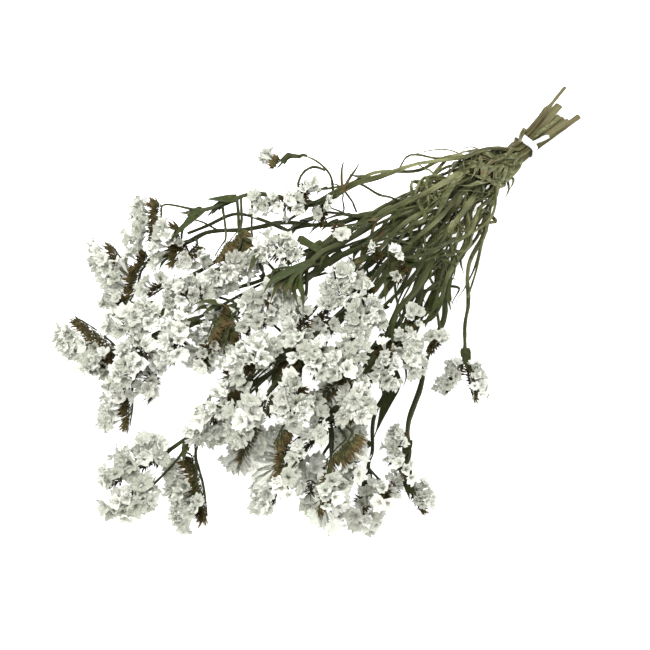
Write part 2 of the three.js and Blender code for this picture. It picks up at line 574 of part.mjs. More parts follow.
// Every head gets its middle row before any head gets its side rows. A calyx that has no room is made smaller,
// and then left out.
const heads = SPRIGS.flatMap((sprig, s) =>
  sprig.spikes.map((spike, h) => {
    const frame = headFrame(spike);
    return { name: `sprig_${s + 1}_head_${h + 1}`, frame, cells: headCells(frame.columns), kept: [] };
  }),
);
for (const isMiddle of [true, false]) {
  for (const head of heads) {
    const others = [...greens, ...heads.filter((other) => other !== head).flatMap((other) => other.kept.map((cell) => cell.hull))];
    for (const cell of head.cells.filter((c) => (c.row === 0) === isMiddle)) {
      const size = [1, 0.85, 0.7].find((s) => !crosses(cellHull(head.frame, cell, s, CLEARANCE), others));
      if (!size || head.frame.point(cell.x, cell.y, CALYX_RIM * size).z < 2) continue;
      cell.size = size;
      cell.hull = cellHull(head.frame, cell, size, 0);
      head.kept.push(cell);
    }
  }
}
heads.forEach((head, order) => {
  const cells = largestGroup(head.kept);
  if (cells.length) place(head.name, headSolid(head.frame, cells, seeded(order)), materials.white);
});

export default bunch;
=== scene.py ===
# A tied bunch of dried white statice, lying down. Nine winged green stems fan out from a plastic band to
# fifty one-sided flower spikes, with small spikelets between them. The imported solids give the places, and
# each gets its real surface here. Lengths are in millimetres in the tables and formulas, and MM turns them
# into metres.
import json
import math
import random

import bpy
from mathutils import Matrix, Vector, noise
from mathutils.bvhtree import BVHTree

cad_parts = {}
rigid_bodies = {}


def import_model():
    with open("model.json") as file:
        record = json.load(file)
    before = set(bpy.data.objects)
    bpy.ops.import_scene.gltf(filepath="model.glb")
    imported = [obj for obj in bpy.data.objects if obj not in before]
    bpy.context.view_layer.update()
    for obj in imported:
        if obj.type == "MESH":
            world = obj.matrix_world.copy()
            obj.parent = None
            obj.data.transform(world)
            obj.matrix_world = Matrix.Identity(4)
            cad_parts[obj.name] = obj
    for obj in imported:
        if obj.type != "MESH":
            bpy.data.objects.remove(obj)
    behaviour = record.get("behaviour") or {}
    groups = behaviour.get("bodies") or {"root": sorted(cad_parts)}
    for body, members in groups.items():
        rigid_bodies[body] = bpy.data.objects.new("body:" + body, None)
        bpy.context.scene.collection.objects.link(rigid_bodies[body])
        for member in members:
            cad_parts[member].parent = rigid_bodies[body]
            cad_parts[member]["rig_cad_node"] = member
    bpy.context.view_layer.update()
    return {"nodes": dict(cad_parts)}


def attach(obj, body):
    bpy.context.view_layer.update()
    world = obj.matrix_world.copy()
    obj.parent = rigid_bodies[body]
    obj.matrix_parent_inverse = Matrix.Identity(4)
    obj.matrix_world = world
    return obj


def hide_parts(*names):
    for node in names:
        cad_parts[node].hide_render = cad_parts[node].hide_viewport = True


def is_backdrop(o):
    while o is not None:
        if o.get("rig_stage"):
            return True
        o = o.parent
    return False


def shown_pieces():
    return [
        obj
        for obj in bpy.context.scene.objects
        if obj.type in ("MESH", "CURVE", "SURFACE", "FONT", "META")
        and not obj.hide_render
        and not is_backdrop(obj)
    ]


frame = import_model()
MM = 0.001
bpy.ops.object.select_all(action="DESELECT")

# ---- The view ----
# The bunch is seen from above its flowers, with the cut ends pointing away to the upper right. Places of the
# view and of the lights are in metres.
VIEW_TARGET = Vector((-0.201, -0.013, 0.030))
VIEW_DISTANCE = 0.9
VIEW_TURN = math.radians(-45)
VIEW_DOWN = math.radians(60)
VIEW_LENS = 83.08
VIEW_SENSOR = 36

towards = Vector((
    math.sin(VIEW_TURN) * math.cos(VIEW_DOWN),
    -math.cos(VIEW_TURN) * math.cos(VIEW_DOWN),
    math.sin(VIEW_DOWN),
))
bpy.ops.object.camera_add(location=VIEW_TARGET + VIEW_DISTANCE * towards)
camera = bpy.context.object
camera.rotation_euler = towards.to_track_quat("Z", "Y").to_euler()
camera.data.lens = VIEW_LENS
camera.data.sensor_width = VIEW_SENSOR
bpy.context.scene.camera = camera

# ---- The table and the light ----
# A white acrylic table top, faintly lit from inside. Over it hang a large soft light, above left, and a
# weaker one to the right, and the walls are white all round.
TABLE_SIZE = 6
LIGHTS = [  # name, place, width and power
    ("sky_panel", (-0.5, 0.1, 1.3), 1.0, 23),
    ("side_panel", (0.6, -0.7, 0.9), 0.9, 5),
]
ROOM_LIGHT = 1.0


def node(tree, kind, options=None, **sockets):
    """Adds a node to a material or group, sets its options, and sets or links its sockets by name."""
    added = tree.nodes.new("ShaderNode" + kind)
    for name, value in (options or {}).items():
        setattr(added, name, value)
    for name, value in sockets.items():
        target = added.inputs[int(name[1:])] if name[1:].isdigit() else added.inputs[name.replace("_", " ")]
        if isinstance(value, bpy.types.NodeSocket):
            tree.links.new(value, target)
        else:
            target.default_value = value
    return added


def new_material(name, **sockets):
    """A material with one Principled shader, whose plain sockets are set here."""
    material = bpy.data.materials.new(name)
    material.use_nodes = True
    shader = material.node_tree.nodes["Principled BSDF"]
    for socket, value in sockets.items():
        shader.inputs[socket.replace("_", " ")].default_value = value
    return material, material.node_tree, shader


def object_noise(tree, scale, detail=3.0, roughness=0.6):
    """A noise over the piece itself, with features of about 1 / scale metres."""
    place = node(tree, "TexCoord").outputs["Object"]
    return node(tree, "TexNoise", Vector=place, Scale=scale, Detail=detail, Roughness=roughness)


def mixed(tree, factor, low, high):
    """The colour low where factor is 0 and high where it is 1."""
    mix = node(tree, "Mix", {"data_type": "RGBA"}, _0=factor)
    for index, value in ((6, low), (7, high)):
        if isinstance(value, bpy.types.NodeSocket):
            tree.links.new(value, mix.inputs[index])
        else:
            mix.inputs[index].default_value = (*value, 1)
    return mix.outputs[2]


def remapped(tree, value, start, end, low=0.0, high=1.0):
    """The value's stretch from start to end, spread smoothly from low to high."""
    options = {"interpolation_type": "SMOOTHSTEP"}
    ramp = node(tree, "MapRange", options, Value=value, From_Min=start, From_Max=end, To_Min=low, To_Max=high)
    return ramp.outputs["Result"]


def bumped(tree, shader, height, strength, distance):
    """Feeds a height into the shader's normal."""
    bump = node(tree, "Bump", Height=height, Strength=strength, Distance=distance)
    tree.links.new(bump.outputs["Normal"], shader.inputs["Normal"])


bpy.ops.mesh.primitive_plane_add(size=TABLE_SIZE, location=(0, 0, 0))
table_top = bpy.context.object
table_top.name = "table_top"
table_white, tree, shader = new_material(
    "table_white", Roughness=0.9, Specular_IOR_Level=0.1, Emission_Color=(1, 1, 1, 1), Emission_Strength=0.7,
)
grain = object_noise(tree, 9)
faint = mixed(tree, grain.outputs["Fac"], (0.93, 0.93, 0.93), (0.95, 0.95, 0.95))
tree.links.new(faint, shader.inputs["Base Color"])
table_top.data.materials.append(table_white)
table_top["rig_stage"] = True

for name, place, size, power in LIGHTS:
    bpy.ops.object.light_add(type="AREA", location=place)
    lamp = bpy.context.object
    lamp.name = name
    lamp.data.shape = "DISK"
    lamp.data.size = size
    lamp.data.energy = power
    lamp.rotation_euler = (Vector(place) - VIEW_TARGET).to_track_quat("Z", "Y").to_euler()

room = bpy.data.worlds.new("white_room")
room.use_nodes = True
room.node_tree.nodes["Background"].inputs["Color"].default_value = (1, 1, 1, 1)
room.node_tree.nodes["Background"].inputs["Strength"].default_value = ROOM_LIGHT
bpy.context.scene.world = room
bpy.context.scene.view_settings.view_transform = "Standard"

# ---- The stems ----
# Cut stems of statice, dried to olive green. A main stem is flat, with two thin wings and a low ridge on top.
# It gets thinner towards the flowers and forks into plainer stems, with a small knuckle at each fork. The
# stems, forks and flower stalks of a sprig grew as one piece.
#
# A sprig has a slot in the tie, in columns across and rows up, and a cut end. With a knot, at that share of
# the way from the end to the tie, the end is only a thin side shoot. shoots is how many more thin shoots it
# has. Its first stem runs outwards from the tie. A later one starts on an earlier one, given by its number
# and a place along its route. The routes are those of the solids.
#
# A spike leaves stem `on` at `at`, passes the points of via and follows its own axis from base to tip, with
# its flowers towards face. size is that of the whole spike, cup that of its bracts where it differs, and
# bloom makes its flowers smaller. few is how many flowers a tuft has, and bare is the share that has dropped
# off. Tails are the narrow leaves at the forks.
SPRIGS = [
    dict(
        slot=(1, 1),
        end=(51, 10, 14),
        knot=0.45,
        shoots=0,
        stems=[
            dict(
                route=[
                    (-20, 5, 18), (-48, 8, 34), (-75, 13, 50), (-104, 21, 60), (-133, 29, 65),
                    (-161, 38, 66), (-174, 56, 66), (-190, 73, 64), (-209, 86, 57),
                ],
            ),
            dict(start=(0, 1.3), route=[(-84, 19, 46), (-112, 31, 52), (-142, 43, 58), (-164, 50, 62)]),
        ],
        spikes=[
            dict(
                on=0, at=4.5, via=[(-144, 40, 76), (-148, 51, 85), (-155, 58, 88)], base=(-163, 61, 86),
                tip=(-168, 61, 84), face=(-0.9, 0.4, -0.3), size=0.75, few=7, cup=0.8,
            ),
            dict(
                on=0, at=5, via=[], base=(-170, 37, 73), tip=(-187, 59, 73), face=(-0.5, -0.5, 0.7),
                size=0.85, bloom=0.85, bare=0.45,
            ),
            dict(
                on=0, at=7, via=[(-201, 60, 64)], base=(-215, 45, 60), tip=(-233, 50, 55),
                face=(-0.95, -0.1, -0.1),
            ),
            dict(on=0, at=8, via=[], base=(-220, 109, 50), tip=(-238, 96, 44), face=(-0.6, 0.75, 0.1)),
            dict(on=0, at=8, via=[], base=(-222, 89, 46), tip=(-238, 78, 38), face=(-0.9, 0.4, 0.1)),
        ],
        tails=[
            dict(on=0, at=0.6, via=[(-42, 13, 32), (-52, 12, 38), (-59, 6, 40)]),
            dict(on=0, at=1.2, via=[(-63, 16, 46), (-78, 21, 54), (-93, 23, 60), (-106, 22, 60)]),
            dict(on=0, at=4.3, via=[(-139, 35, 73), (-135, 38, 79), (-131, 38, 83)]),
            dict(on=0, at=4.3, via=[(-136, 31, 73), (-130, 31, 78), (-123, 33, 82)]),
            dict(on=0, at=4.3, via=[(-143, 35, 69), (-149, 39, 71), (-156, 43, 70)]),
        ],
    ),
    dict(
        slot=(1, -1),
        shoots=5,
        end=(42, 7, 6),
        stems=[
            dict(
                route=[
                    (-24, 6, 7), (-56, 5, 14), (-83, 6, 22), (-110, 15, 29), (-135, 27, 33),
                    (-155, 40, 34), (-178, 62, 33), (-200, 82, 30), (-222, 92, 27),
                ],
            ),
            dict(start=(0, 3), route=[(-140, 38, 24), (-168, 54, 22), (-196, 66, 22), (-224, 72, 22)]),
            dict(start=(0, 1), route=[(-86, 14, 15), (-116, 28, 18), (-142, 43, 28), (-158, 47, 33)]),
        ],
        spikes=[
            dict(
                on=0, at=8, via=[(-238, 99, 22)], base=(-254, 109, 14), tip=(-248, 131, 12),
                face=(-0.75, 0.6, 0.3), size=1.1,
            ),
            dict(
                on=0, at=8, via=[(-236, 98, 24)], base=(-250, 99, 20), tip=(-270, 88, 18),
                face=(-0.7, 0.6, 0.1),
            ),
            dict(on=1, at=3.9, via=[], base=(-238, 76, 22), tip=(-256, 72, 18), face=(-0.5, -0.3, -0.4)),
        ],
        tails=[
            dict(on=0, at=7, via=[(-206, 92, 36), (-212, 97, 38), (-218, 96, 38)]),
            dict(on=0, at=4, via=[(-142, 36, 40), (-150, 48, 42), (-160, 54, 42)]),
        ],
    ),
    dict(
        slot=(0, 1),
        end=(38, 3, 12),
        stems=[
            dict(
                route=[
                    (-21, 0, 17), (-62, -1, 38), (-105, -2, 60), (-148, -3, 78), (-182, -3, 87),
                    (-205, -2, 89),
                ],
            ),
            dict(
                start=(0, 1.2),
                route=[(-93, 3, 46), (-117, 5, 52), (-137, 8, 57), (-157, 14, 60), (-180, 14, 64)],
            ),
            dict(start=(0, 1.4), route=[(-98, -8, 54), (-128, -14, 66), (-160, -17, 76), (-184, -18, 82)]),
        ],
        spikes=[
            dict(
                on=1, at=4.8, via=[], base=(-196, 16, 71), tip=(-210, 30, 69), face=(-0.5, 0.2, 0.8),
                bloom=0.85,
            ),
            dict(on=0, at=5, via=[], base=(-224, -4, 86), tip=(-239, 6, 82), face=(-0.85, 0, 0.3)),
            dict(
                on=0, at=5, via=[(-217, -14, 87)], base=(-227, -20, 86), tip=(-236, -34, 82),
                face=(-0.6, -0.2, 0.6),
            ),
            dict(
                on=2, at=4, via=[], base=(-194, -18, 82), tip=(-211, -22, 82), face=(-0.2, -0.5, 0.8),
                bloom=0.8,
            ),
        ],
        tails=[
            dict(on=0, at=1.4, via=[(-86, 6, 46), (-91, 10, 51), (-92, 12, 56)]),
            dict(on=1, at=0.2, via=[(-90, 5, 42), (-98, 7, 40), (-103, 6, 37)]),
            dict(on=1, at=3, via=[(-146, 14, 62), (-156, 20, 66), (-164, 20, 70)]),
        ],
    ),
    dict(
        slot=(1, 0),
        end=(30, 8, 9),
        stems=[
            dict(
                route=[
                    (-24, 4.5, 12), (-65, 1, 24), (-112, 2, 37), (-155, 4, 46), (-197, 10, 50),
                    (-233, 22, 50), (-258, 34, 48), (-278, 45, 45),
                ],
            ),
            dict(
                start=(0, 1.3),
                route=[(-110, 8, 26), (-155, 18, 28), (-200, 30, 30), (-240, 42, 32), (-275, 50, 32)],
            ),
            dict(
                start=(0, 1),
                route=[(-98, 11, 34), (-140, 19, 41), (-180, 23, 45), (-212, 29, 48), (-240, 38, 50)],
            ),
        ],
        spikes=[
            dict(
                on=1, at=4.9, via=[(-288, 55, 29)], base=(-298, 61, 24), tip=(-299, 102, 17),
                face=(-0.95, -0.25, 0), size=1.2,
            ),
            dict(
                on=1, at=4.9, via=[(-290, 50, 28)], base=(-309, 40, 23), tip=(-326, 24, 17),
                face=(-0.9, 0.1, 0.1),
            ),
            dict(on=0, at=6.5, via=[], base=(-280, 48, 54), tip=(-297, 62, 49), face=(-0.5, 0.2, 0.8)),
            dict(on=0, at=6, via=[], base=(-270, 33, 56), tip=(-288, 22, 52), face=(-0.4, 0.1, 0.9)),
            dict(on=0, at=7, via=[], base=(-290, 42, 49), tip=(-310, 34, 42), face=(-0.6, 0.1, 0.8)),
            dict(
                on=1, at=4.6, via=[(-280, 44, 32)], base=(-290, 38, 30), tip=(-306, 26, 25),
                face=(-0.7, -0.3, 0.3),
            ),
            dict(on=0, at=5, via=[], base=(-245, 44, 50), tip=(-260, 54, 46), face=(-0.6, 0.4, 0.6)),
            dict(
                on=0, at=4.6, via=[(-238, 17, 60)], base=(-248, 14, 67), tip=(-266, 6, 63),
                face=(-0.85, 0.1, -0.45),
            ),
            dict(on=0, at=5, via=[], base=(-252, 22, 38), tip=(-271, 22, 33), face=(-0.7, 0.2, -0.5)),
        ],
        tails=[
            dict(on=0, at=3.5, via=[(-178, 14, 42), (-186, 22, 40), (-196, 24, 42)]),
        ],
    ),
    dict(
        slot=(0, -1),
        end=(36, -3, 5),
        stems=[
            dict(
                route=[
                    (-24, 0.5, 6), (-71, -2, 10), (-130, -8, 15), (-186, -11, 20), (-235, -10, 24),
                    (-275, -9, 28), (-304, -10, 29),
                ],
            ),
            dict(
                start=(0, 1.4),
                route=[(-130, 1, 24), (-170, 0, 30), (-210, -2, 34), (-250, -7, 38), (-275, -14, 42)],
            ),
        ],
        spikes=[
            dict(
                on=0, at=6, via=[(-318, -9, 29)], base=(-329, -8, 28), tip=(-347, 2, 25),
                face=(-0.5, 0.3, 0.8),
            ),
            dict(
                on=0, at=6, via=[(-322, -14, 25)], base=(-344, -14, 20), tip=(-365, -11, 16),
                face=(-0.6, -0.1, 0.7),
            ),
            dict(
                on=0, at=6, via=[(-307, -14, 24)], base=(-312, -18, 19), tip=(-332, -49, 13),
                face=(-0.8, 0.5, 0.1), size=1.1,
            ),
            dict(on=1, at=4.9, via=[], base=(-288, -20, 44), tip=(-304, -10, 41), face=(-0.85, -0.2, 0.2)),
            dict(on=0, at=3.5, via=[], base=(-222, -4, 21), tip=(-242, 4, 20), face=(-0.4, 0.3, -0.8)),
            dict(
                on=0, at=4.5, via=[(-262, -18, 24)], base=(-276, -28, 22), tip=(-294, -37, 20),
                face=(-0.5, 0, -0.8),
            ),
        ],
        tails=[],
    ),
    dict(
        slot=(0, 0),
        end=(33, -1, 9),
        stems=[
            dict(
                route=[
                    (-24, -0.5, 11), (-79, -10, 38), (-133, -22, 60), (-182, -32, 72), (-222, -38, 76),
                    (-247, -40, 78),
                ],
            ),
            dict(
                start=(0, 1.2), route=[(-120, -14, 48), (-165, -22, 56), (-210, -25, 60), (-245, -26, 63)],
            ),
            dict(
                start=(0, 1),
                route=[(-104, -20, 42), (-140, -31, 50), (-178, -41, 57), (-212, -44, 66), (-236, -43, 76)],
            ),
        ],
        spikes=[
            dict(on=0, at=5, via=[], base=(-256, -26, 80), tip=(-274, -22, 76), face=(-0.4, 0.2, 0.85)),
            dict(on=0, at=5, via=[], base=(-260, -52, 80), tip=(-276, -62, 76), face=(-0.5, -0.2, 0.8)),
            dict(
                on=0, at=5, via=[(-268, -38, 74)], base=(-280, -42, 71), tip=(-297, -48, 65),
                face=(-0.7, 0, 0.65),
            ),
            dict(
                on=1, at=3.9, via=[(-266, -28, 64)], base=(-283, -28, 63), tip=(-299, -22, 56),
                face=(-0.75, 0.2, 0.5),
            ),
            dict(on=0, at=4.2, via=[], base=(-238, -43, 85), tip=(-250, -56, 85), face=(-0.1, 0, 1)),
        ],
        tails=[
            dict(on=0, at=2.4, via=[(-156, -20, 68), (-166, -14, 72), (-176, -14, 74)]),
        ],
    ),
    dict(
        slot=(-1, 0),
        end=(27, -8, 10),
        stems=[
            dict(
                route=[
                    (-27, -3.8, 9.6), (-86, -15, 25), (-125, -27, 35), (-158, -46, 40), (-190, -57, 44),
                    (-226, -63, 48), (-250, -66, 50),
                ],
            ),
            dict(
                start=(0, 1.3),
                route=[
                    (-125, -34, 28), (-151, -50, 29), (-172, -55, 30), (-196, -63, 29), (-215, -72, 27),
                    (-234, -84, 21), (-248, -95, 15),
                ],
            ),
            dict(
                start=(0, 1),
                route=[(-112, -21, 23), (-150, -35, 25), (-188, -46, 30), (-216, -50, 38), (-236, -62, 46)],
            ),
        ],
        spikes=[
            dict(
                on=0, at=6, via=[(-268, -66, 58)], base=(-279, -66, 60), tip=(-296, -74, 54),
                face=(-0.8, -0.1, -0.35),
            ),
            dict(
                on=0, at=6, via=[(-262, -80, 58)], base=(-279, -93, 60), tip=(-296, -103, 55),
                face=(-0.7, -0.5, -0.4),
            ),
            dict(on=1, at=6.9, via=[], base=(-258, -101, 9), tip=(-274, -109, 7), face=(-0.5, -0.6, 0.4)),
            dict(
                on=0, at=5.6, via=[(-254, -72, 38)], base=(-271, -75, 30), tip=(-287, -86, 25),
                face=(-0.6, -0.5, 0.4),
            ),
            dict(
                on=0, at=6, via=[(-268, -62, 36)], base=(-282, -62, 26), tip=(-302, -71, 17),
                face=(-0.7, 0.1, 0.6),
            ),
            dict(on=0, at=4.5, via=[], base=(-222, -48, 38), tip=(-242, -46, 30), face=(-0.3, 0.1, -0.9)),
            dict(on=0, at=4.7, via=[], base=(-244, -72, 42), tip=(-259, -85, 39), face=(-0.2, -0.4, 0.8)),
        ],
        tails=[
            dict(on=1, at=3, via=[(-182, -62, 24), (-190, -70, 22), (-200, -74, 22)]),
        ],
    ),
    dict(
        slot=(-1, 1),
        end=(31, -10, 14),
        stems=[
            dict(
                route=[
                    (-28, -4.5, 19), (-82, -19, 43), (-131, -37, 61), (-172, -51, 69), (-198, -58, 70),
                    (-222, -66, 70),
                ],
            ),
            dict(
                start=(0, 0.1),
                route=[
                    (-48, -14, 24), (-66, -22, 32), (-88, -31, 42), (-113, -38, 56), (-131, -38, 66),
                    (-149, -36, 72), (-166, -36, 76),
                ],
            ),
            dict(start=(0, 1), route=[(-104, -36, 46), (-135, -52, 52), (-162, -62, 56), (-182, -60, 60)]),
        ],
        spikes=[
            dict(
                on=1, at=6.9, via=[(-182, -40, 76)], base=(-198, -44, 76), tip=(-215, -50, 76),
                face=(-0.2, -0.1, 0.95), bloom=0.85,
            ),
            dict(
                on=0, at=4, via=[], base=(-206, -64, 68), tip=(-220, -76, 62), face=(-0.2, -0.6, 0.75),
                bloom=0.8,
            ),
            dict(on=0, at=5, via=[], base=(-234, -72, 72), tip=(-250, -82, 70), face=(-0.4, -0.4, 0.8)),
            dict(
                on=2, at=4, via=[], base=(-190, -62, 60), tip=(-197, -78, 52), face=(-0.1, -0.7, 0.6),
                bloom=0.8,
            ),
            dict(
                on=0, at=4.6, via=[(-218, -60, 76)], base=(-226, -58, 81), tip=(-241, -66, 80),
                face=(-0.2, 0.1, 0.9),
            ),
            dict(
                on=1, at=6, via=[(-154, -34, 76)], base=(-158, -32, 79), tip=(-164, -31, 79),
                face=(-0.3, 0, 0.9), size=0.75, few=3, cup=0.4,
            ),
        ],
        tails=[
            dict(on=1, at=4.4, via=[(-126, -46, 60), (-134, -54, 58), (-140, -56, 54)]),
        ],
    ),
    dict(
        slot=(-1, -1),
        shoots=2,
        end=(45, -9, 5),
        stems=[
            dict(
                route=[
                    (-30, -7, 6), (-46, -13, 10), (-63, -20, 15), (-90, -28, 18), (-118, -37, 18),
                    (-139, -53, 17), (-169, -69, 18), (-192, -80, 18), (-216, -97, 17), (-228, -107, 16),
                ],
            ),
            dict(start=(0, 2), route=[(-86, -36, 20), (-109, -46, 20), (-127, -62, 18), (-147, -79, 14)]),
        ],
        spikes=[
            dict(
                on=0, at=9, via=[], base=(-237, -110, 14), tip=(-253, -115, 12), face=(-0.2, 0.1, 0.95),
                bloom=0.8, size=0.75,
            ),
            dict(
                on=0, at=9, via=[], base=(-235, -116, 10), tip=(-241, -132, 8), face=(0.2, -0.5, 0.6),
                bloom=0.8, size=0.75,
            ),
            dict(
                on=1, at=4, via=[], base=(-158, -86, 13), tip=(-175, -90, 10), face=(-0.5, 0.2, 0.6),
                bloom=0.85, size=0.75,
            ),
            dict(
                on=1, at=4, via=[], base=(-155, -89, 12), tip=(-166, -104, 9), face=(0.1, -0.5, 0.5),
                bloom=0.85, size=0.75,
            ),
            dict(
                on=0, at=8, via=[(-218, -90, 24)], base=(-221, -94, 27), tip=(-237, -102, 25),
                face=(-0.3, -0.1, 0.8), bloom=0.8, size=0.75,
            ),
        ],
        tails=[
            dict(on=0, at=0, via=[(-27, -13, 8), (-32, -16, 7), (-40, -17, 8)]),
            dict(
                on=0, at=2,
                via=[
                    (-67, -26, 13), (-82, -34, 11), (-97, -42, 9), (-112, -47, 7), (-121, -49, 6),
                    (-124, -53, 7),
                ],
            ),
        ],
    ),
]
SLOT_PITCH = (4.7, 3.5)
SLOT_MIDDLE = 6.0  # the height of the middle row
TIE_REACH = 7  # how far on each side of the tie a stem still runs straight
SPLINE_STEP = 3.5
STEM_SECTION = [
    (2.1, 0.1), (1.5, 0.32), (1.05, 0.8), (0.5, 1.05), (0.12, 1.4), (-0.3, 1.1), (-1.05, 0.85), (-1.5, 0.3),
    (-2.1, -0.1), (-1.5, -0.35), (-0.9, -0.95), (0, -1.2), (0.95, -0.9), (1.5, -0.3),
]
STALK_SECTION = [(1.1, 0.1), (0.55, 0.7), (-0.1, 0.95), (-0.7, 0.6), (-1.1, -0.1), (-0.5, -0.75), (0.5, -0.8)]
MAIN_TAPER = (1.0, 0.72)
FORK_TAPER = (0.85, 0.5)
STALK_TAPER = (1, 0.7)
KNUCKLE = 1.22  # how much thicker a stem is at a fork
WANDER = 1.6  # how far a stem strays from its smooth route
KNOT_SWELL = 0.45  # how much thicker the end is at its knot
SHOOT_SHARE = 0.58  # how thick the cut end is past its knot
CROWD = Vector((-222, -20, 50))  # round this point the flower heads are crowded
CROWD_REACH = 72
SHOOTS = 15  # thin side shoots to each sprig
SHOOT_THICK = (0.6, 1.4)
SHOOT_BOW = (14, 8)  # how far a shoot bows aside and up
SHOOT_START = (0.2, 2.2)  # the places along the main stem that they leave
SHOOT_FINISH = (0.6, 3)  # the places along a stem that they end on
SHOOT_TAPER = 0.6
CUT_REACH = 2.4  # how far round a cut end its cut face may lie
CUT_FACING = 0.85  # and how squarely it faces outwards
WAVE_WIDTH = 7  # of the dents in the dried surface
WAVE_RISE = 0.7
SIDE_SHOOTS = [  # the sprig, the points of a side shoot, and its thickness at both ends
    (
        1,
        [(-145, 43, 78), (-148, 51, 78), (-153, 52, 76), (-161, 49, 74), (-165, 45, 71), (-165, 38, 67)],
        (0.8, 1),
    ),
    (1, [(-142, 31, 65), (-138, 34, 47), (-134, 38, 26)], (0.6, 0.5)),
    (1, [(-141, 30, 65), (-133, 31, 45), (-126, 34, 24)], (0.6, 0.7)),
    (1, [(-130, 28, 64), (-119, 19, 50), (-107, 12, 37)], (0.9, 0.7)),
    (1, [(-66, 12, 43), (-73, 17, 47), (-81, 22, 52), (-91, 25, 56), (-104, 21, 60)], (0.9, 0.6)),
    (1, [(-164, 38, 66), (-167, 42, 55), (-172, 51, 44), (-180, 62, 33)], (0.9, 0.8)),
    (2, [(-214, 95, 28), (-199, 85, 36), (-188, 75, 42), (-181, 62, 44), (-174, 42, 42)], (1.1, 1.2)),
    (1, [(-149, 54, 86), (-153, 57, 87.5), (-158, 60, 88), (-163, 61, 86)], (0.8, 2.3)),
    (3, [(-84, 1, 49), (-85, 11, 50), (-88, 18, 53)], (0.8, 0.6)),
    (3, [(-14, 2, 13), (-6, 3, 11.6), (0, 4, 11.4), (5.5, 6.5, 13)], (1.1, 1.7)),
    (7, [(-126, -36, 28), (-124, -44, 23), (-128, -50, 17)], (0.6, 0.5)),
    (9, [(-64, -21, 30), (-66, -25, 28), (-79, -34, 25), (-99, -45, 22), (-121, -57, 19)], (0.9, 0.7)),
]
SPIKELET_SIZE = 0.85
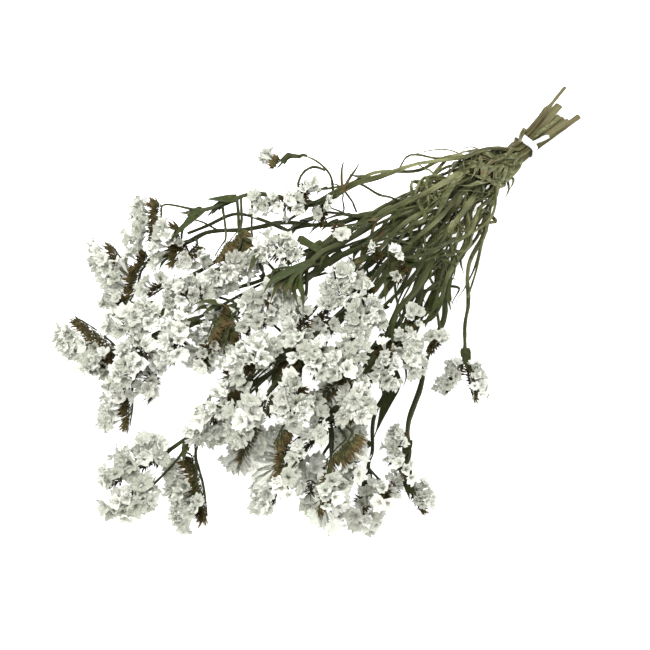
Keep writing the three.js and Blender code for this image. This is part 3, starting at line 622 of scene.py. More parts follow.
# A spikelet: its sprig, the stem and the place that it leaves, its base, tip and face, and how many flowers.
SPIKELETS = [
    (1, 0, 6.9, (-204, 55, 66), (-223, 52, 62), (-0.7, -0.5, -0.45), 3),
    (1, 0, 6.6, (-199, 51, 60), (-211, 35, 58), (-0.7, -0.5, -0.45), 4),
    (1, 1, 3.4, (-160, 46, 72), (-173, 37, 70), (-0.6, -0.6, 0.3), 4),
    (1, 0, 4.4, (-155, 35, 60), (-167, 27, 58), (-0.6, -0.6, 0.3), 3),
    (1, 0, 7.4, (-218, 53, 70), (-229, 51, 66), (-0.7, -0.5, -0.45), 1),
    (2, 0, 7.7, (-225, 85, 40), (-229, 73, 36), (-0.6, -0.6, 0.3), 4),
    (2, 0, 8.0, (-244, 97, 30), (-254, 95, 28), (-0.7, 0.2, 0.4), 3),
    (2, 0, 7.6, (-221, 78, 40), (-235, 78, 36), (-0.6, -0.6, 0.3), 4),
    (2, 1, 4.0, (-250, 73, 34), (-262, 76, 30), (-0.7, 0.2, 0.4), 5),
    (3, 0, 5.0, (-223, 6, 95), (-241, -8, 100), (-0.7, -0.5, -0.45), 2),
    (3, 2, 3.4, (-178, -12, 74), (-189, -19, 70), (-0.6, -0.6, 0.3), 3),
    (3, 2, 2.9, (-165, -15, 80), (-168, -24, 78), (-0.3, -0.3, 0.9), 2),
    (3, 0, 3.4, (-170, 8, 80), (-176, -1, 78), (-0.3, -0.3, 0.9), 1),
    (4, 1, 5.0, (-306, 62, 22), (-320, 69, 18), (-0.7, 0.2, 0.4), 6),
    (4, 0, 5.3, (-251, 7, 70), (-261, -7, 66), (-0.7, -0.5, -0.45), 2),
    (4, 0, 6.0, (-269, 15, 56), (-277, 7, 50), (-0.3, -0.3, 0.9), 5),
    (4, 1, 4.7, (-273, 84, 28), (-282, 88, 24), (-0.7, 0.2, 0.4), 4),
    (4, 0, 5.7, (-259, 17, 74), (-271, 12, 70), (-0.7, -0.5, -0.45), 1),
    (4, 2, 3.7, (-210, 47, 70), (-223, 40, 66), (-0.7, -0.5, -0.45), 1),
    (5, 0, 6.0, (-351, -2, 26), (-360, 2, 22), (-0.7, 0.2, 0.4), 5),
    (5, 1, 4.2, (-262, -2, 60), (-273, -6, 56), (-0.3, -0.3, 0.9), 5),
    (5, 1, 4.6, (-272, -11, 58), (-281, -12, 54), (-0.3, -0.3, 0.9), 4),
    (5, 0, 6.0, (-329, -38, 17), (-335, -47, 14), (-0.3, -0.3, 0.9), 3),
    (6, 0, 3.0, (-190, -40, 72), (-196, -54, 68), (-0.3, -0.3, 0.9), 6),
    (6, 0, 4.5, (-243, -35, 86), (-253, -42, 84), (-0.3, -0.3, 0.9), 4),
    (6, 0, 5.0, (-270, -37, 66), (-278, -41, 62), (-0.7, -0.5, -0.45), 3),
    (6, 1, 3.5, (-237, -10, 84), (-247, -9, 80), (-0.3, -0.3, 0.9), 5),
    (6, 1, 3.7, (-243, 0, 78), (-254, -3, 74), (-0.3, -0.3, 0.9), 3),
    (6, 0, 2.9, (-186, -31, 78), (-191, -40, 76), (-0.3, -0.3, 0.9), 2),
    (6, 0, 3.1, (-196, -38, 70), (-202, -46, 66), (-0.3, -0.3, 0.9), 4),
    (6, 0, 3.4, (-205, -23, 80), (-214, -27, 76), (-0.3, -0.3, 0.9), 3),
    (6, 0, 3.7, (-218, -24, 74), (-219, -36, 70), (-0.3, -0.3, 0.9), 4),
    (6, 1, 4.0, (-259, 5, 76), (-271, -2, 72), (-0.7, -0.5, -0.45), 1),
    (6, 0, 5.0, (-277, -59, 74), (-291, -63, 70), (-0.7, -0.5, -0.45), 1),
    (6, 1, 4.0, (-265, -13, 74), (-273, -18, 70), (-0.7, -0.5, -0.45), 1),
    (6, 2, 4.4, (-229, -50, 80), (-238, -54, 78), (-0.3, -0.3, 0.9), 2),
    (7, 0, 6.0, (-297, -82, 74), (-307, -86, 70), (-0.3, -0.3, 0.9), 6),
    (7, 0, 6.0, (-286, -102, 74), (-296, -108, 70), (-0.3, -0.3, 0.9), 7),
    (7, 0, 6.0, (-260, -63, 68), (-268, -78, 66), (-0.3, -0.3, 0.9), 7),
    (7, 0, 5.9, (-257, -89, 45), (-264, -100, 40), (-0.3, -0.3, 0.9), 5),
    (7, 2, 5.0, (-244, -72, 40), (-256, -77, 36), (-0.3, -0.3, 0.9), 5),
    (7, 0, 5.8, (-252, -58, 66), (-263, -58, 62), (-0.3, -0.3, 0.9), 4),
    (7, 0, 6.0, (-266, -71, 66), (-277, -74, 62), (-0.3, -0.3, 0.9), 5),
    (7, 0, 6.0, (-278, -71, 62), (-285, -75, 58), (-0.3, -0.3, 0.9), 4),
    (7, 0, 6.0, (-259, -87, 66), (-275, -87, 62), (-0.7, -0.5, -0.45), 4),
    (7, 1, 6.8, (-252, -111, 30), (-258, -119, 26), (-0.3, -0.3, 0.9), 4),
    (7, 0, 6.0, (-256, -89, 72), (-271, -93, 68), (-0.7, -0.5, -0.45), 1),
    (8, 1, 6.2, (-160, -36, 74), (-167, -40, 72), (-0.3, -0.3, 0.9), 1),
    (8, 2, 3.0, (-170, -55, 58), (-178, -60, 54), (-0.3, -0.3, 0.9), 4),
    (8, 2, 2.8, (-165, -72, 46), (-175, -74, 42), (-0.3, -0.3, 0.9), 4),
    (9, 0, 9.0, (-234, -108, 30), (-237, -115, 27), (-0.3, -0.3, 0.9), 4),
]


def pick(*pieces):
    """Selects these pieces alone, with the first one active."""
    bpy.ops.object.select_all(action="DESELECT")
    for piece in pieces:
        piece.select_set(True)
    bpy.context.view_layer.objects.active = pieces[0]


def spline_place(points, place):
    """A place on the smooth line through the points: 0 is the first point, 1 the second, and so on."""
    last = len(points) - 1
    k = max(0, min(int(place), last - 1))
    p1, p2 = points[k], points[k + 1]
    p0 = points[k - 1] if k > 0 else 2 * p1 - p2
    p3 = points[k + 2] if k + 2 <= last else 2 * p2 - p1
    d0, d1, d2 = (math.sqrt((b - a).length) for a, b in ((p0, p1), (p1, p2), (p2, p3)))
    leaving = ((p1 - p0) / d0 - (p2 - p0) / (d0 + d1) + (p2 - p1) / d1) * d1
    arriving = ((p2 - p1) / d1 - (p3 - p1) / (d1 + d2) + (p3 - p2) / d2) * d1
    w = place - k
    bend = 3 * (p2 - p1) - 2 * leaving - arriving
    return p1 + w * leaving + w * w * bend + w**3 * (2 * (p1 - p2) + leaving + arriving)


def spline_places(points, step=SPLINE_STEP):
    """Places along the whole line, no more than a step apart."""
    places = []
    for k in range(len(points) - 1):
        count = max(1, math.ceil((points[k + 1] - points[k]).length / step))
        places += [k + i / count for i in range(count)]
    return places + [len(points) - 1]


def section_curve(name, outline):
    """A closed flat outline that a sweep is drawn with."""
    curve = bpy.data.curves.new(name, "CURVE")
    curve.dimensions = "2D"
    points = curve.splines.new("POLY").points
    points.add(len(outline) - 1)
    for point, (x, y) in zip(points, outline):
        point.co = (x * MM, y * MM, 0, 1)
    curve.splines[0].use_cyclic_u = True
    section = bpy.data.objects.new(name, curve)
    bpy.context.scene.collection.objects.link(section)
    return section


def sweep(name, section, lines, material):
    """One mesh with the section drawn along each line of (point, width, turn), closed at its ends."""
    curve = bpy.data.curves.new(name, "CURVE")
    curve.dimensions = "3D"
    curve.twist_mode = "Z_UP"
    curve.bevel_mode = "OBJECT"
    curve.bevel_object = section
    curve.use_fill_caps = True
    for line in lines:
        points = curve.splines.new("POLY").points
        points.add(len(line) - 1)
        for point, (place, width, turn) in zip(points, line):
            point.co = (*(place * MM), 1)
            point.radius = width
            point.tilt = turn
    piece = bpy.data.objects.new(name, curve)
    bpy.context.scene.collection.objects.link(piece)
    piece.data.materials.append(material)
    pick(piece)
    bpy.ops.object.convert(target="MESH")
    bpy.ops.object.mode_set(mode="EDIT")
    bpy.ops.mesh.select_all(action="SELECT")
    bpy.ops.mesh.remove_doubles(threshold=1e-6)
    bpy.ops.mesh.normals_make_consistent(inside=False)
    bpy.ops.object.mode_set(mode="OBJECT")
    bpy.ops.object.shade_smooth_by_angle(angle=math.radians(50))
    return piece


def stem_points(sprig):
    """Each stem's points, and how many of them come before its route."""
    column, row = sprig["slot"]
    y, z = column * SLOT_PITCH[0], SLOT_MIDDLE + row * SLOT_PITCH[1]
    stems = []
    for stem in sprig["stems"]:
        if "start" in stem:
            start = [place_on(stems[stem["start"][0]], stem["start"][1])]
        else:
            start = [Vector(sprig["end"]), Vector((TIE_REACH, y, z)), Vector((-TIE_REACH, y, z))]
        lead = 0 if "start" in stem else len(start)
        stems.append((start + [Vector(p) for p in stem["route"]], lead))
    return stems


def place_on(stem, at):
    """A place along a stem's route. On a fork, 0 is the fork itself."""
    points, lead = stem
    return spline_place(points, lead + at)


def end_width(place, knot):
    """The share of its width that a stem keeps between its cut end, at 0, and the tie, at 1."""
    if knot is None or place > 1:
        return 1
    past = max(0, min(1, 0.5 + (knot - place) / 0.1))
    return 1 - (1 - SHOOT_SHARE) * past + KNOT_SWELL * math.exp(-(((place - knot) / 0.06) ** 2))


def stem_line(stem, forks, knot, draw):
    """A stem's line for the sweep: it wanders a little, twists slowly and swells where another leaves it."""
    points, lead = stem
    thick, thin = MAIN_TAPER if lead else FORK_TAPER
    phase = draw.uniform(0, 6.28)
    pitch = draw.uniform(0.9, 1.4)
    line = []
    for place in spline_places(points):
        share = place / (len(points) - 1)
        free = min(1, max(0, place - lead + 1) * 1.5, (len(points) - 1 - place) * 1.5)
        stray = Vector((0, math.sin(3.1 * pitch * place + phase), math.cos(2.3 * pitch * place + phase)))
        near = min((abs(place - fork) for fork in forks), default=9)
        width = (thick + (thin - thick) * share) * (1 + (KNUCKLE - 1) * math.exp(-((near / 0.08) ** 2)))
        width *= end_width(place, knot if lead else None)
        turn = free * (0.35 * math.sin(0.9 * place + phase) + 0.2 * math.sin(2.7 * place))
        line.append((spline_place(points, place) + WANDER * free * stray, width, turn))
    return line


def shoot_route(stems, draw):
    """A thin side shoot, which leaves the main stem, swings past the others and meets one further out."""
    start = place_on(stems[0], draw.uniform(*SHOOT_START))
    other = draw.choice(stems)
    finish = place_on(other, draw.uniform(*SHOOT_FINISH) + (2 if other[1] else 0))
    swing = Vector((0, *(draw.uniform(-bow, bow) for bow in SHOOT_BOW)))
    back = draw.uniform(-0.5, 0.8) * swing
    route = [start, start.lerp(finish, 0.3) + swing, start.lerp(finish, 0.68) - back, finish]
    for middle in route[1:3]:
        middle.z = max(middle.z, 3)
    return route


def shoot_line(route, thick, thin, draw):
    """A side shoot's line for the sweep: it wavers a little and turns slowly."""
    last = len(route) - 1
    phase = draw.uniform(0, 6.28)
    line = []
    for place in spline_places(route, 4.5):
        share = place / last
        stray = 0.7 * math.sin(9 * share + phase) * min(1, 5 * share, 5 - 5 * share)
        width = thick + (thin - thick) * share
        turn = 2 * math.sin(3 * share + phase)
        line.append((spline_place(route, place) + Vector((0, stray, stray)), width, turn))
    return line


def spike_axis(spike):
    """The spike's own axis as a function of 0 to 1: it bows away from its flowers."""
    base, tip, face = Vector(spike["base"]), Vector(spike["tip"]), Vector(spike["face"]).normalized()
    bow = base.lerp(tip, 0.5) - 0.07 * (tip - base).length * face
    return lambda t: (1 - t) ** 2 * base + 2 * t * (1 - t) * bow + t * t * tip


def stalk_line(stem, spike):
    """The stalk from the stem to the spike and on along its back, where it gets very thin."""
    axis = spike_axis(spike)
    points = [place_on(stem, spike["at"]), *(Vector(p) for p in spike["via"])]
    lead = len(points)
    points += [axis(t) for t in (0.0, 0.3, 0.6, 0.95)]
    size = max(0.85, spike.get("size", 1))
    line = []
    for place in spline_places(points, 2.5):
        before = min(1, place / lead)
        after = max(0, place - lead) / 3
        width = size * (STALK_TAPER[0] + (STALK_TAPER[1] - STALK_TAPER[0]) * before) * (1 - 0.5 * after)
        line.append((spline_place(points, place), width, 0.3 * math.sin(place)))
    return line


def fibre_group():
    """Lengthwise streaks on a swept piece, whose map runs round it in U and along it in V."""
    group = bpy.data.node_groups.new("plant_fibre", "ShaderNodeTree")
    for name, low in (("Around", 7.0), ("Along", 1.2)):
        group.interface.new_socket(name, in_out="INPUT", socket_type="NodeSocketFloat").default_value = low
    for name in ("Streaks", "Edge", "GrooveShade"):
        group.interface.new_socket(name, in_out="OUTPUT", socket_type="NodeSocketFloat")
    given = group.nodes.new("NodeGroupInput").outputs
    out = group.nodes.new("NodeGroupOutput").inputs
    uv = node(group, "TexCoord").outputs["UV"]
    split = node(group, "SeparateXYZ", Vector=uv)
    scale = node(group, "CombineXYZ", X=given["Around"], Y=given["Along"])
    stretched = node(group, "VectorMath", {"operation": "MULTIPLY"}, _0=uv, _1=scale.outputs[0])
    streaks = node(group, "TexNoise", Vector=stretched.outputs[0], Scale=1.0, Detail=3.0, Roughness=0.65)
    group.links.new(streaks.outputs["Fac"], out["Streaks"])
    turns = node(group, "Math", {"operation": "MULTIPLY"}, _0=split.outputs["X"], _1=4 * math.pi)
    wave = node(group, "Math", {"operation": "COSINE"}, _0=turns.outputs[0])
    edge = remapped(group, wave.outputs[0], 0.35, 1.0)
    group.links.new(edge, out["Edge"])
    # This mask marks the valleys between the wings and the ridge, where the stem material paints shade.
    flank = node(group, "Math", {"operation": "ABSOLUTE"}, _0=wave.outputs[0])
    group.links.new(remapped(group, flank.outputs[0], 0.0, 0.55, 1.0, 0.0), out["GrooveShade"])
    return group


plant_fibre = fibre_group()


def fibre(tree, around, along):
    """Places the streaks in a material."""
    placed = node(tree, "Group", {"node_tree": plant_fibre}, Around=around, Along=along)
    return placed.outputs


def stem_material():
    """Olive green, paler on the wings and ridge, with painted shade in the grooves between them and on stems
    low in the bundle, browner towards the cut ends.
    """
    material, tree, shader = new_material("dried_stem", Roughness=0.55, Specular_IOR_Level=0.16)
    lines = fibre(tree, 9, 5)
    patches = object_noise(tree, 55, 4)
    broad = object_noise(tree, 24, 1)
    specks = object_noise(tree, 700, 2)
    place = node(tree, "SeparateXYZ", Vector=node(tree, "TexCoord").outputs["Object"])
    green = mixed(tree, remapped(tree, patches.outputs["Fac"], 0.35, 0.68), STEM_DARK, STEM_GREEN)
    pale = mixed(tree, remapped(tree, lines["Streaks"], 0.42, 0.62), green, STEM_PALE)
    edged = mixed(tree, remapped(tree, lines["Edge"], 0, 1, 0, 0.5), pale, STEM_EDGE)
    # Painted shade: the grooves between the wings and the ridge are darkened towards STEM_DARK.
    painted_groove_shade = mixed(tree, remapped(tree, lines["GrooveShade"], 0, 1, 0, 0.45), edged, STEM_DARK)
    shaded = mixed(tree, remapped(tree, broad.outputs["Fac"], 0.5, 0.66, 0, 0.6), painted_groove_shade, STEM_DARK)
    old = mixed(tree, remapped(tree, place.outputs["X"], -0.07, 0.045, 0, 0.55), shaded, STEM_OLD)
    # Painted shade: stems that lie low in the bundle, the more so towards the flowers, are darkened towards
    # STEM_DARK.
    sloped = {"operation": "MULTIPLY_ADD"}
    painted_shade_depth = node(tree, "Math", sloped, _0=place.outputs["X"], _1=0.3, _2=place.outputs["Z"])
    low = mixed(tree, remapped(tree, painted_shade_depth.outputs[0], -0.045, 0.0, 0.75, 0), old, STEM_DARK)
    far = mixed(tree, remapped(tree, place.outputs["X"], -0.17, -0.08, 0.85, 0), low, STEM_FAR)
    dotted = mixed(tree, remapped(tree, specks.outputs["Fac"], 0.62, 0.72, 0, 0.6), far, STEM_SPECK)
    tree.links.new(dotted, shader.inputs["Base Color"])
    rough = remapped(tree, patches.outputs["Fac"], 0.3, 0.7, 0.5, 0.78)
    tree.links.new(rough, shader.inputs["Roughness"])
    bumped(tree, shader, lines["Streaks"], 0.7, 0.0006)
    return material


STEM_DARK = (0.016, 0.017, 0.004)
STEM_GREEN = (0.075, 0.08, 0.026)
STEM_PALE = (0.15, 0.155, 0.06)
STEM_EDGE = (0.26, 0.265, 0.135)
STEM_OLD = (0.1, 0.074, 0.038)
STEM_FAR = (0.024, 0.031, 0.009)
STEM_SPECK = (0.03, 0.022, 0.01)
CUT_PITH = (0.55, 0.48, 0.3)

dried_stem = stem_material()
cut_pith, tree, shader = new_material("cut_pith", Roughness=0.9, Specular_IOR_Level=0.1)
pores = object_noise(tree, 2600)
pith = mixed(tree, remapped(tree, pores.outputs["Fac"], 0.4, 0.65), (0.3, 0.24, 0.13), CUT_PITH)
tree.links.new(pith, shader.inputs["Base Color"])
bumped(tree, shader, pores.outputs["Fac"], 0.8, 0.0003)

stem_section = section_curve("stem_section", STEM_SECTION)
stalk_section = section_curve("stalk_section", STALK_SECTION)
waves = bpy.data.textures.new("stem_waves", "CLOUDS")
waves.noise_scale = WAVE_WIDTH * MM

for number, sprig in enumerate(SPRIGS, 1):
    sprig["sides"] = [
        dict(on=on, at=at, via=[], base=base, tip=tip, face=face, size=SPIKELET_SIZE, few=few)
        for owner, on, at, base, tip, face, few in SPIKELETS
        if owner == number
    ]
    draw = random.Random(100 + number)
    stems = stem_points(sprig)
    lines = []
    for k, stem in enumerate(stems):
        leaving = [s["start"][1] + stem[1] for s in sprig["stems"] if s.get("start", (-1, 0))[0] == k]
        leaving += [s["at"] + stem[1] for s in sprig["spikes"] if s["on"] == k]
        lines.append(stem_line(stem, leaving, sprig.get("knot"), draw))
    piece = sweep(f"stem_{number}", stem_section, lines, dried_stem)
    lines = [stalk_line(stems[s["on"]], s) for s in sprig["spikes"] + sprig["sides"]]
    stalks = sweep(f"stalks_{number}", stalk_section, lines, dried_stem)
    pick(piece, stalks)
    bpy.ops.object.join()
    bpy.ops.object.modifier_add(type="DISPLACE")
    uneven = piece.modifiers[0]
    uneven.texture = waves
    uneven.texture_coords = "GLOBAL"
    uneven.strength = WAVE_RISE * MM
    bpy.ops.object.modifier_apply(modifier=uneven.name)
    piece.data.materials.append(cut_pith)
    end = Vector(sprig["end"]) * MM
    for face in piece.data.polygons:
        if (face.center - end).length < CUT_REACH * MM and face.normal.x > CUT_FACING:
            face.material_index = 1
    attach(piece, "root")
    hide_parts(f"sprig_{number}_stem")
    lines = [
        shoot_line([Vector(p) for p in points], *ends, draw)
        for owner, points, ends in SIDE_SHOOTS
        if owner == number
    ]
    for _ in range(sprig.get("shoots", SHOOTS)):
        thick = draw.uniform(*SHOOT_THICK)
        lines.append(shoot_line(shoot_route(stems, draw), thick, SHOOT_TAPER * thick, draw))
    shoots = sweep(f"shoots_{number}", stalk_section, lines, dried_stem)
    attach(shoots, "root")

# ---- The narrow leaves ----
# Each fork keeps the dried tail of the wing that ran down to it: a narrow pointed leaf, creased and curled.
# Small ones stand at the foot of each flower stalk, and withered ones cling to the bundle at its neck. They
# grow on the stems.
LEAF_SECTION = [
    (1.3, 0.28), (0.6, 0.16), (0, 0.02), (-0.6, 0.16), (-1.3, 0.28), (-0.6, -0.16), (0, -0.32), (0.6, -0.16),
]
LEAF_GREEN = (0.028, 0.037, 0.01)
LEAF_PALE = (0.045, 0.056, 0.017)
LEAF_DRY = (0.22, 0.225, 0.12)
LEAF_DULL = (0.075, 0.082, 0.032)
LEAF_TIP = (0.11, 0.075, 0.035)
TAIL_WIDTH = 0.55
LEAFLETS = (9, 2)  # at the foot of a flower stalk, in the crowd and outside it
LEAFLET_LENGTH = (9, 24)
LEAFLET_WIDTH = (0.6, 2.4)
END_GAP = 1.05  # how near the end of its stem a leaflet may stand, in steps of the stem's route
WEB_SPAN = (-190, -115)  # along the length, where leaflets stand on the stems between the flower stalks
WEB_TRIES = 26  # to a sprig
WEB_PLACES = (0.3, 5)
WEB_WIDTH = (0.5, 1.5)
CURLS = [  # the sprig, stem and place that a curled leaf grows on, its further points, and its width
    (3, 0, 0.3, [(-39, 8, 29), (-45, 12, 31), (-52, 16, 31), (-56, 17, 28)], 1.3),
    (3, 0, 0.6, [(-49, 8, 33), (-54, 11, 33), (-58, 12, 31)], 0.8),
    (3, 1, 0.8, [(-96, 8, 49), (-99, 13, 51), (-97, 18, 52)], 0.6),
    (1, 1, 0.4, [(-81, 9, 47), (-91, 5, 50), (-98, 7, 51), (-105, 9, 51), (-111, 6, 50)], 0.9),
    (3, 0, 1.1, [(-85, -7, 50), (-104, -16, 58), (-117, -21, 62), (-129, -22, 64)], 1.2),
    (9, 0, 3.3, [(-105, -37, 18), (-109, -44, 16)], 0.5),
    (9, 0, 3.8, [(-118, -40, 20), (-116, -44, 20)], 0.45),
    (9, 0, 4.3, [(-122, -45, 20), (-120, -49, 20), (-129, -52, 18), (-134, -55, 17)], 0.55),
    (1, 0, 7.9, [(-227, 84, 57), (-240, 84, 53)], 1.7),
    (6, 0, -1.9, [(9, -2.4, 13.4), (20, -4, 15), (32, -5.4, 16.4)], 0.8),
    (8, 1, 2.4, [(-84, -29, 40), (-95, -32, 43), (-108, -36, 46)], 1.3),
    (9, 0, -0.1, [(-31, -12, 7), (-36, -17, 8), (-43, -19, 9), (-45, -15, 10)], 0.5),
    (4, 0, 6.6, [(-271, 62, 50), (-273, 68, 48)], 1.5),
    (4, 0, 5.4, [(-253, 36, 54), (-262, 39, 52)], 1.7),
    (7, 1, 6, [(-243, -83, 24), (-246, -74, 26)], 1.5),
    (7, 1, 4.4, [(-209, -73, 32), (-222, -80, 30), (-236, -86, 24)], 2.3),
    (7, 1, 3.9, [(-201, -72, 32), (-213, -78, 32), (-229, -84, 30)], 2.0),
    (3, 0, 4.8, [(-231, -3, 104), (-246, -8, 108)], 1.7),
    (3, 0, 4.8, [(-232, -8, 105), (-246, -15, 109)], 1.8),
    (3, 0, 4.8, [(-228, -11, 105), (-241, -21, 109)], 1.8),
    (3, 0, 4.8, [(-224, -12, 104), (-236, -28, 107)], 1.9),
    (3, 0, 4.8, [(-228, -6, 106), (-240, -6, 109)], 1.3),
    (3, 0, 4.8, [(-225, -11, 106), (-236, -22, 110)], 1.4),
    (3, 0, 4.8, [(-219, -10, 103), (-227, -22, 105), (-236, -31, 103)], 1.6),
    (5, 1, 5.0, [(-280, -19, 76), (-288, -14, 77)], 1.8),
    (5, 1, 5.0, [(-281, -23, 77), (-277, -31, 76)], 1.6),
    (4, 0, 5.6, [(-254, 21, 78), (-260, 28, 78), (-266, 31, 76)], 1.8),
    (4, 0, 5.6, [(-255, 21, 76), (-262, 23, 74), (-266, 24, 72)], 1.5),
    (4, 2, 4.0, [(-214, 28, 80), (-223, 25, 78), (-229, 23, 76)], 1.8),
    (3, 0, 4.4, [(-192, 16, 82), (-190, 7, 84), (-184, 4, 82)], 1.8),
]
NECK_LEAVES = 9  # withered leaves at the foot of each sprig
NECK_START = (-42, -9)
NECK_LENGTH = (18, 56)
NECK_WIDTH = (0.8, 2.5)
NECK_WIND = (0.4, 2.4)  # how far they wind round the bundle, in radians
NECK_TWIST = 2.4
NECK_TILT = 1.5
NECK = [  # x, the bundle's middle across and up, and how far it reaches across and up
    (-8, 0, 6.5, 7.5, 5.5),
    (-28, -0.5, 12, 8.5, 8),
    (-50, -2, 21, 12, 12),
    (-75, -5, 30, 18, 18),
    (-110, -8, 40, 26, 26),
]


def tail_line(points, width, twist=0.9, tilt=0.0):
    """A leaf's line for the sweep: widest near its first third, ending in a point, with a slow twist."""
    last = len(points) - 1
    line = []
    for place in spline_places(points, 2.2):
        share = place / last
        belly = 0.45 + 0.75 * math.sin(math.pi * min(1, 0.18 + share)) ** 0.8
        blade = width * belly * (1 - share**3) + 0.04
        line.append((spline_place(points, place), blade, tilt + twist * share))
    return line


def leaflet_points(stem, at, draw):
    """A small leaf that leaves a stem at a narrow angle and bends away from it."""
    foot = place_on(stem, at)
    ahead = (place_on(stem, at + 0.04) - place_on(stem, at - 0.04)).normalized()
    tilted = Vector((draw.uniform(-1, 1), draw.uniform(-1, 1), draw.uniform(-0.2, 1)))
    aside = tilted.cross(ahead).normalized()
    length = draw.uniform(*LEAFLET_LENGTH)
    return [foot + length * (s * ahead + 0.5 * s * s * aside) for s in (0, 0.4, 0.75, 1)]


def last_place(stem):
    """The last place along a stem's route where a leaflet may stand."""
    points, lead = stem
    return len(points) - lead - END_GAP


def neck_place(x, angle, out):
    """A place at an angle round the bundle: on its skin where out is 1, further in below that."""
    k = next((k for k in range(len(NECK) - 2) if x > NECK[k + 1][0]), len(NECK) - 2)
    share = (x - NECK[k][0]) / (NECK[k + 1][0] - NECK[k][0])
    _, y, z, across, up = (a + (b - a) * share for a, b in zip(NECK[k], NECK[k + 1]))
    return Vector((x, y + out * across * math.cos(angle), max(2, z + out * up * math.sin(angle))))


def neck_points(draw):
    """A withered leaf at the neck, which clings to the bundle and winds part of the way round it."""
    x, length = draw.uniform(*NECK_START), draw.uniform(*NECK_LENGTH)
    angle = draw.uniform(0, 6.28)
    wind = draw.choice((-1, 1)) * draw.uniform(*NECK_WIND)
    points = []
    for k in range(7):
        out = 0.75 + 0.4 * math.sin(0.45 * k) + draw.uniform(-0.15, 0.15)
        points.append(neck_place(x - length * k / 7, angle + wind * k / 6, out))
    return points


def leaf_material():
    """Dark green with a paler crease and a brown tip; those at the neck have bleached."""
    material, tree, shader = new_material("dried_leaf", Roughness=0.6, Specular_IOR_Level=0.14)
    lines = fibre(tree, 8, 2)
    patches = object_noise(tree, 90)
    place = node(tree, "SeparateXYZ", Vector=node(tree, "TexCoord").outputs["Object"])
    pale = mixed(tree, remapped(tree, place.outputs["X"], -0.14, -0.05), LEAF_PALE, LEAF_DRY)
    dark = mixed(tree, remapped(tree, place.outputs["X"], -0.14, -0.05), LEAF_GREEN, LEAF_DULL)
    green = mixed(tree, remapped(tree, lines["Streaks"], 0.44, 0.66), dark, pale)
    brown = mixed(tree, remapped(tree, patches.outputs["Fac"], 0.52, 0.72, 0, 0.8), green, LEAF_TIP)
    tree.links.new(brown, shader.inputs["Base Color"])
    bumped(tree, shader, lines["Streaks"], 0.5, 0.0003)
    return material


dried_leaf = leaf_material()
leaf_section = section_curve("leaf_section", LEAF_SECTION)
for number, sprig in enumerate(SPRIGS, 1):
    draw = random.Random(200 + number)
    stems = stem_points(sprig)
    lines = []
    grown = [(leaf["on"], leaf["at"], leaf["via"], TAIL_WIDTH) for leaf in sprig["tails"]]
    grown += [curl[1:] for curl in CURLS if curl[0] == number]
    for on, at, via, width in grown:
        lines.append(tail_line([place_on(stems[on], at), *(Vector(p) for p in via)], width))
    for _ in range(NECK_LEAVES):
        width = draw.uniform(*NECK_WIDTH)
        twist = draw.uniform(-NECK_TWIST, NECK_TWIST)
        tilt = draw.uniform(-NECK_TILT, NECK_TILT)
        lines.append(tail_line(neck_points(draw), width, twist, tilt))
    for spike in sprig["spikes"]:
        stem = stems[spike["on"]]
        at = min(spike["at"], last_place(stem))
        crowded = (Vector(spike["base"]) - CROWD).length < CROWD_REACH
        for _ in range(LEAFLETS[0] if crowded else LEAFLETS[1]):
            lines.append(tail_line(leaflet_points(stem, at, draw), draw.uniform(*LEAFLET_WIDTH)))
    for _ in range(WEB_TRIES):
        stem = draw.choice(stems)
        at = min(draw.uniform(*WEB_PLACES), last_place(stem))
        if WEB_SPAN[0] < place_on(stem, at).x < WEB_SPAN[1]:
            lines.append(tail_line(leaflet_points(stem, at, draw), draw.uniform(*WEB_WIDTH)))
    piece = sweep(f"leaves_{number}", leaf_section, lines, dried_leaf)
    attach(piece, "root")

# ---- The bracts ----
# Stiff pointed scales stand in dense tufts among the feet of the flowers, on the same side of the spike. They
# are olive at the foot and have dried to gold and red-brown towards the tip. They grow on the spike and hold
# the flowers.
BATCH = 120  # copies joined at a time
BRACT_LENGTH = 8
BRACT_WIDTH = 1.3
BRACT_KEEL = 0.3
BRACT_BELLY = 0.42  # how far along it is widest
BRACT_SIZES = (0.6, 1.2)
BRACT_MIDDLE = 1.1  # size of a tuft's middle bracts
BRACT_SIDES = 0.35  # how much less the outermost ones have
BRACT_TAPER = (1.15, 0.45)  # size at the spike's base, and how much less at its tip
BRACT_SPACING = 3.4  # between two tufts along the spike
BRACTS = 37  # to a tuft
BRACT_FEET = (2.5, 1.5)  # how far the feet spread outwards and along the spike
BRACT_OUT = 1.8  # how far out along its own direction a bract may stand
BRACT_SPREAD = 84  # degrees to either side of the spike
BRACT_STRAY = (15, 24)  # degrees that a bract strays across the spike and along it
BRACT_LEAN = 14  # degrees that all of them lean towards the tip
BRACT_SWEEP = 24  # degrees that the outermost ones lean further
FAN = 48  # degrees that the ends of a head lean along the spike
TUFT = 0.5  # share of those angles in a bud, whose flowers have not spread yet


def spike_basis(spike, t):
    """The spike's axis at t, and its directions out through the flowers, across and along."""
    axis = spike_axis(spike)
    along = (axis(min(1, t + 0.05)) - axis(max(0, t - 0.05))).normalized()
    face = Vector(spike["face"])
    out = (face - face.dot(along) * along).normalized()
    return axis(t), out, out.cross(along), along


def direction(basis, row, lean):
    """A direction that is turned row degrees across the spike and lean degrees along it."""
    _, out, across, along = basis
    row, lean = math.radians(row), math.radians(lean)
    return math.cos(lean) * (math.cos(row) * out + math.sin(row) * across) + math.sin(lean) * along


def standing(length_axis, back, place, size, spin=0.0):
    """The matrix that stands a piece, modelled along +Z with its back to +Y, at a place in millimetres."""
    z = length_axis.normalized()
    y = (back - back.dot(z) * z).normalized()
    turn = Matrix((y.cross(z), y, z)).transposed() @ Matrix.Rotation(spin, 3, "Z")
    return Matrix.Translation(place * MM) @ (turn * size).to_4x4()


